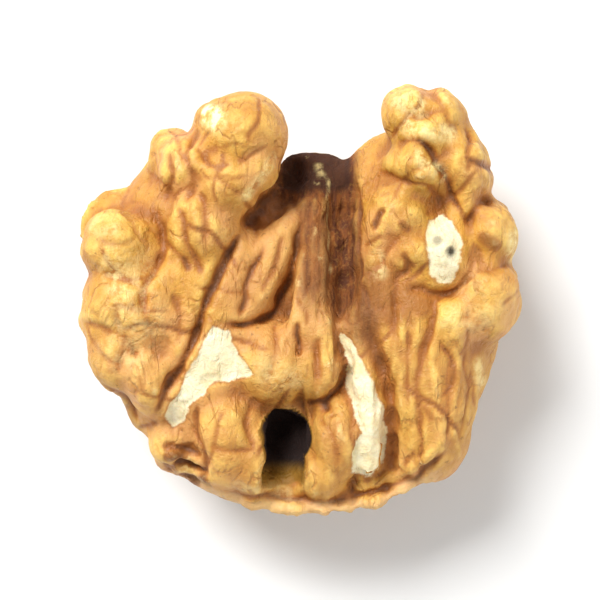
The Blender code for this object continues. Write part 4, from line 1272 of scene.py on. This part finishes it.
@dataclass
class Studio:
    """The floor, the lights and the camera.

    The floor lies a little below the kernel. The world is as bright as horizon says below the
    lower height of its fade, and as sky says above the upper one. The margin is how much wider
    than the kernel the frame is.
    """

    floor_size: float = 0.9
    floor_drop: float = 0.00002
    floor_colour: Colour = (0.86, 0.86, 0.85)
    floor_rough: float = 0.9
    lamps: tuple[Lamp, ...] = (
        Lamp("key_light", (-0.20, 0.28, 0.36), 0.22, 3.3),
        Lamp("fill_light", (0.34, -0.16, 0.30), 0.4, 0.9),
    )
    horizon: float = 1.0
    sky: float = 0.36
    fade: tuple[float, float] = (0.12, 0.4)
    lens: float = 100.0
    margin: float = 1.28

    def lay_floor(self) -> None:
        """Lays the plain pale floor."""
        bpy.ops.object.select_all(action="DESELECT")
        level = CAD_BOX[0][2] - self.floor_drop
        bpy.ops.mesh.primitive_plane_add(size=self.floor_size, location=(0.0, 0.0, level))
        floor = bpy.context.object
        floor.name = "studio_floor"
        nodes = Nodes("studio_floor")
        nodes.shader.inputs["Base Color"].default_value = (*self.floor_colour, 1.0)
        nodes.shader.inputs["Roughness"].default_value = self.floor_rough
        floor.data.materials.append(nodes.material)

    def add_light(self, lamp: Lamp) -> None:
        """Hangs a soft square light that looks at the kernel."""
        light = bpy.data.lights.new(lamp.name, "AREA")
        light.size = lamp.size
        light.energy = lamp.power
        thing = bpy.data.objects.new(lamp.name, light)
        bpy.context.collection.objects.link(thing)
        thing.location = lamp.place
        thing.rotation_euler = (-Vector(lamp.place)).to_track_quat("-Z", "Y").to_euler()

    def light(self) -> None:
        """Hangs the lights and fills the shadows."""
        for lamp in self.lamps:
            self.add_light(lamp)
        world = bpy.data.worlds.new("studio")
        world.use_nodes = True
        tree = world.node_tree
        place = tree.nodes.new("ShaderNodeTexCoord")
        split = tree.nodes.new("ShaderNodeSeparateXYZ")
        tree.links.new(place.outputs["Generated"], split.inputs["Vector"])
        height = tree.nodes.new("ShaderNodeMapRange")
        height.interpolation_type = "SMOOTHSTEP"
        height.inputs["From Min"].default_value = self.fade[0]
        height.inputs["From Max"].default_value = self.fade[1]
        height.inputs["To Min"].default_value = self.horizon
        height.inputs["To Max"].default_value = self.sky
        tree.links.new(split.outputs["Z"], height.inputs["Value"])
        background = tree.nodes["Background"]
        background.inputs["Color"].default_value = (1.0, 1.0, 1.0, 1.0)
        tree.links.new(height.outputs["Result"], background.inputs["Strength"])
        bpy.context.scene.world = world
        bpy.context.scene.view_settings.view_transform = "Standard"

    def aim_camera(self) -> None:
        """Looks straight down on the kernel."""
        camera = bpy.data.cameras.new("camera")
        camera.lens = self.lens
        camera.clip_start = 0.01
        thing = bpy.data.objects.new("camera", camera)
        bpy.context.collection.objects.link(thing)
        middle = (Vector(CAD_BOX[0]) + Vector(CAD_BOX[1])) / 2.0
        width = self.margin * max(CAD_BOX[1][0] - CAD_BOX[0][0], CAD_BOX[1][1] - CAD_BOX[0][1])
        distance = width / 2.0 / math.tan(camera.angle / 2.0)
        thing.location = (middle.x, middle.y, CAD_BOX[1][2] + distance)
        bpy.context.scene.camera = thing


def main() -> None:
    """Builds the kernel and its studio."""
    logging.basicConfig(level=logging.INFO, format="%(name)s: %(message)s")
    studio = Studio()
    studio.lay_floor()
    studio.light()
    studio.aim_camera()
    kernel = WalnutKernel()
    kernel.model()
    kernel.dress()


if __name__ == "__main__":
    main()
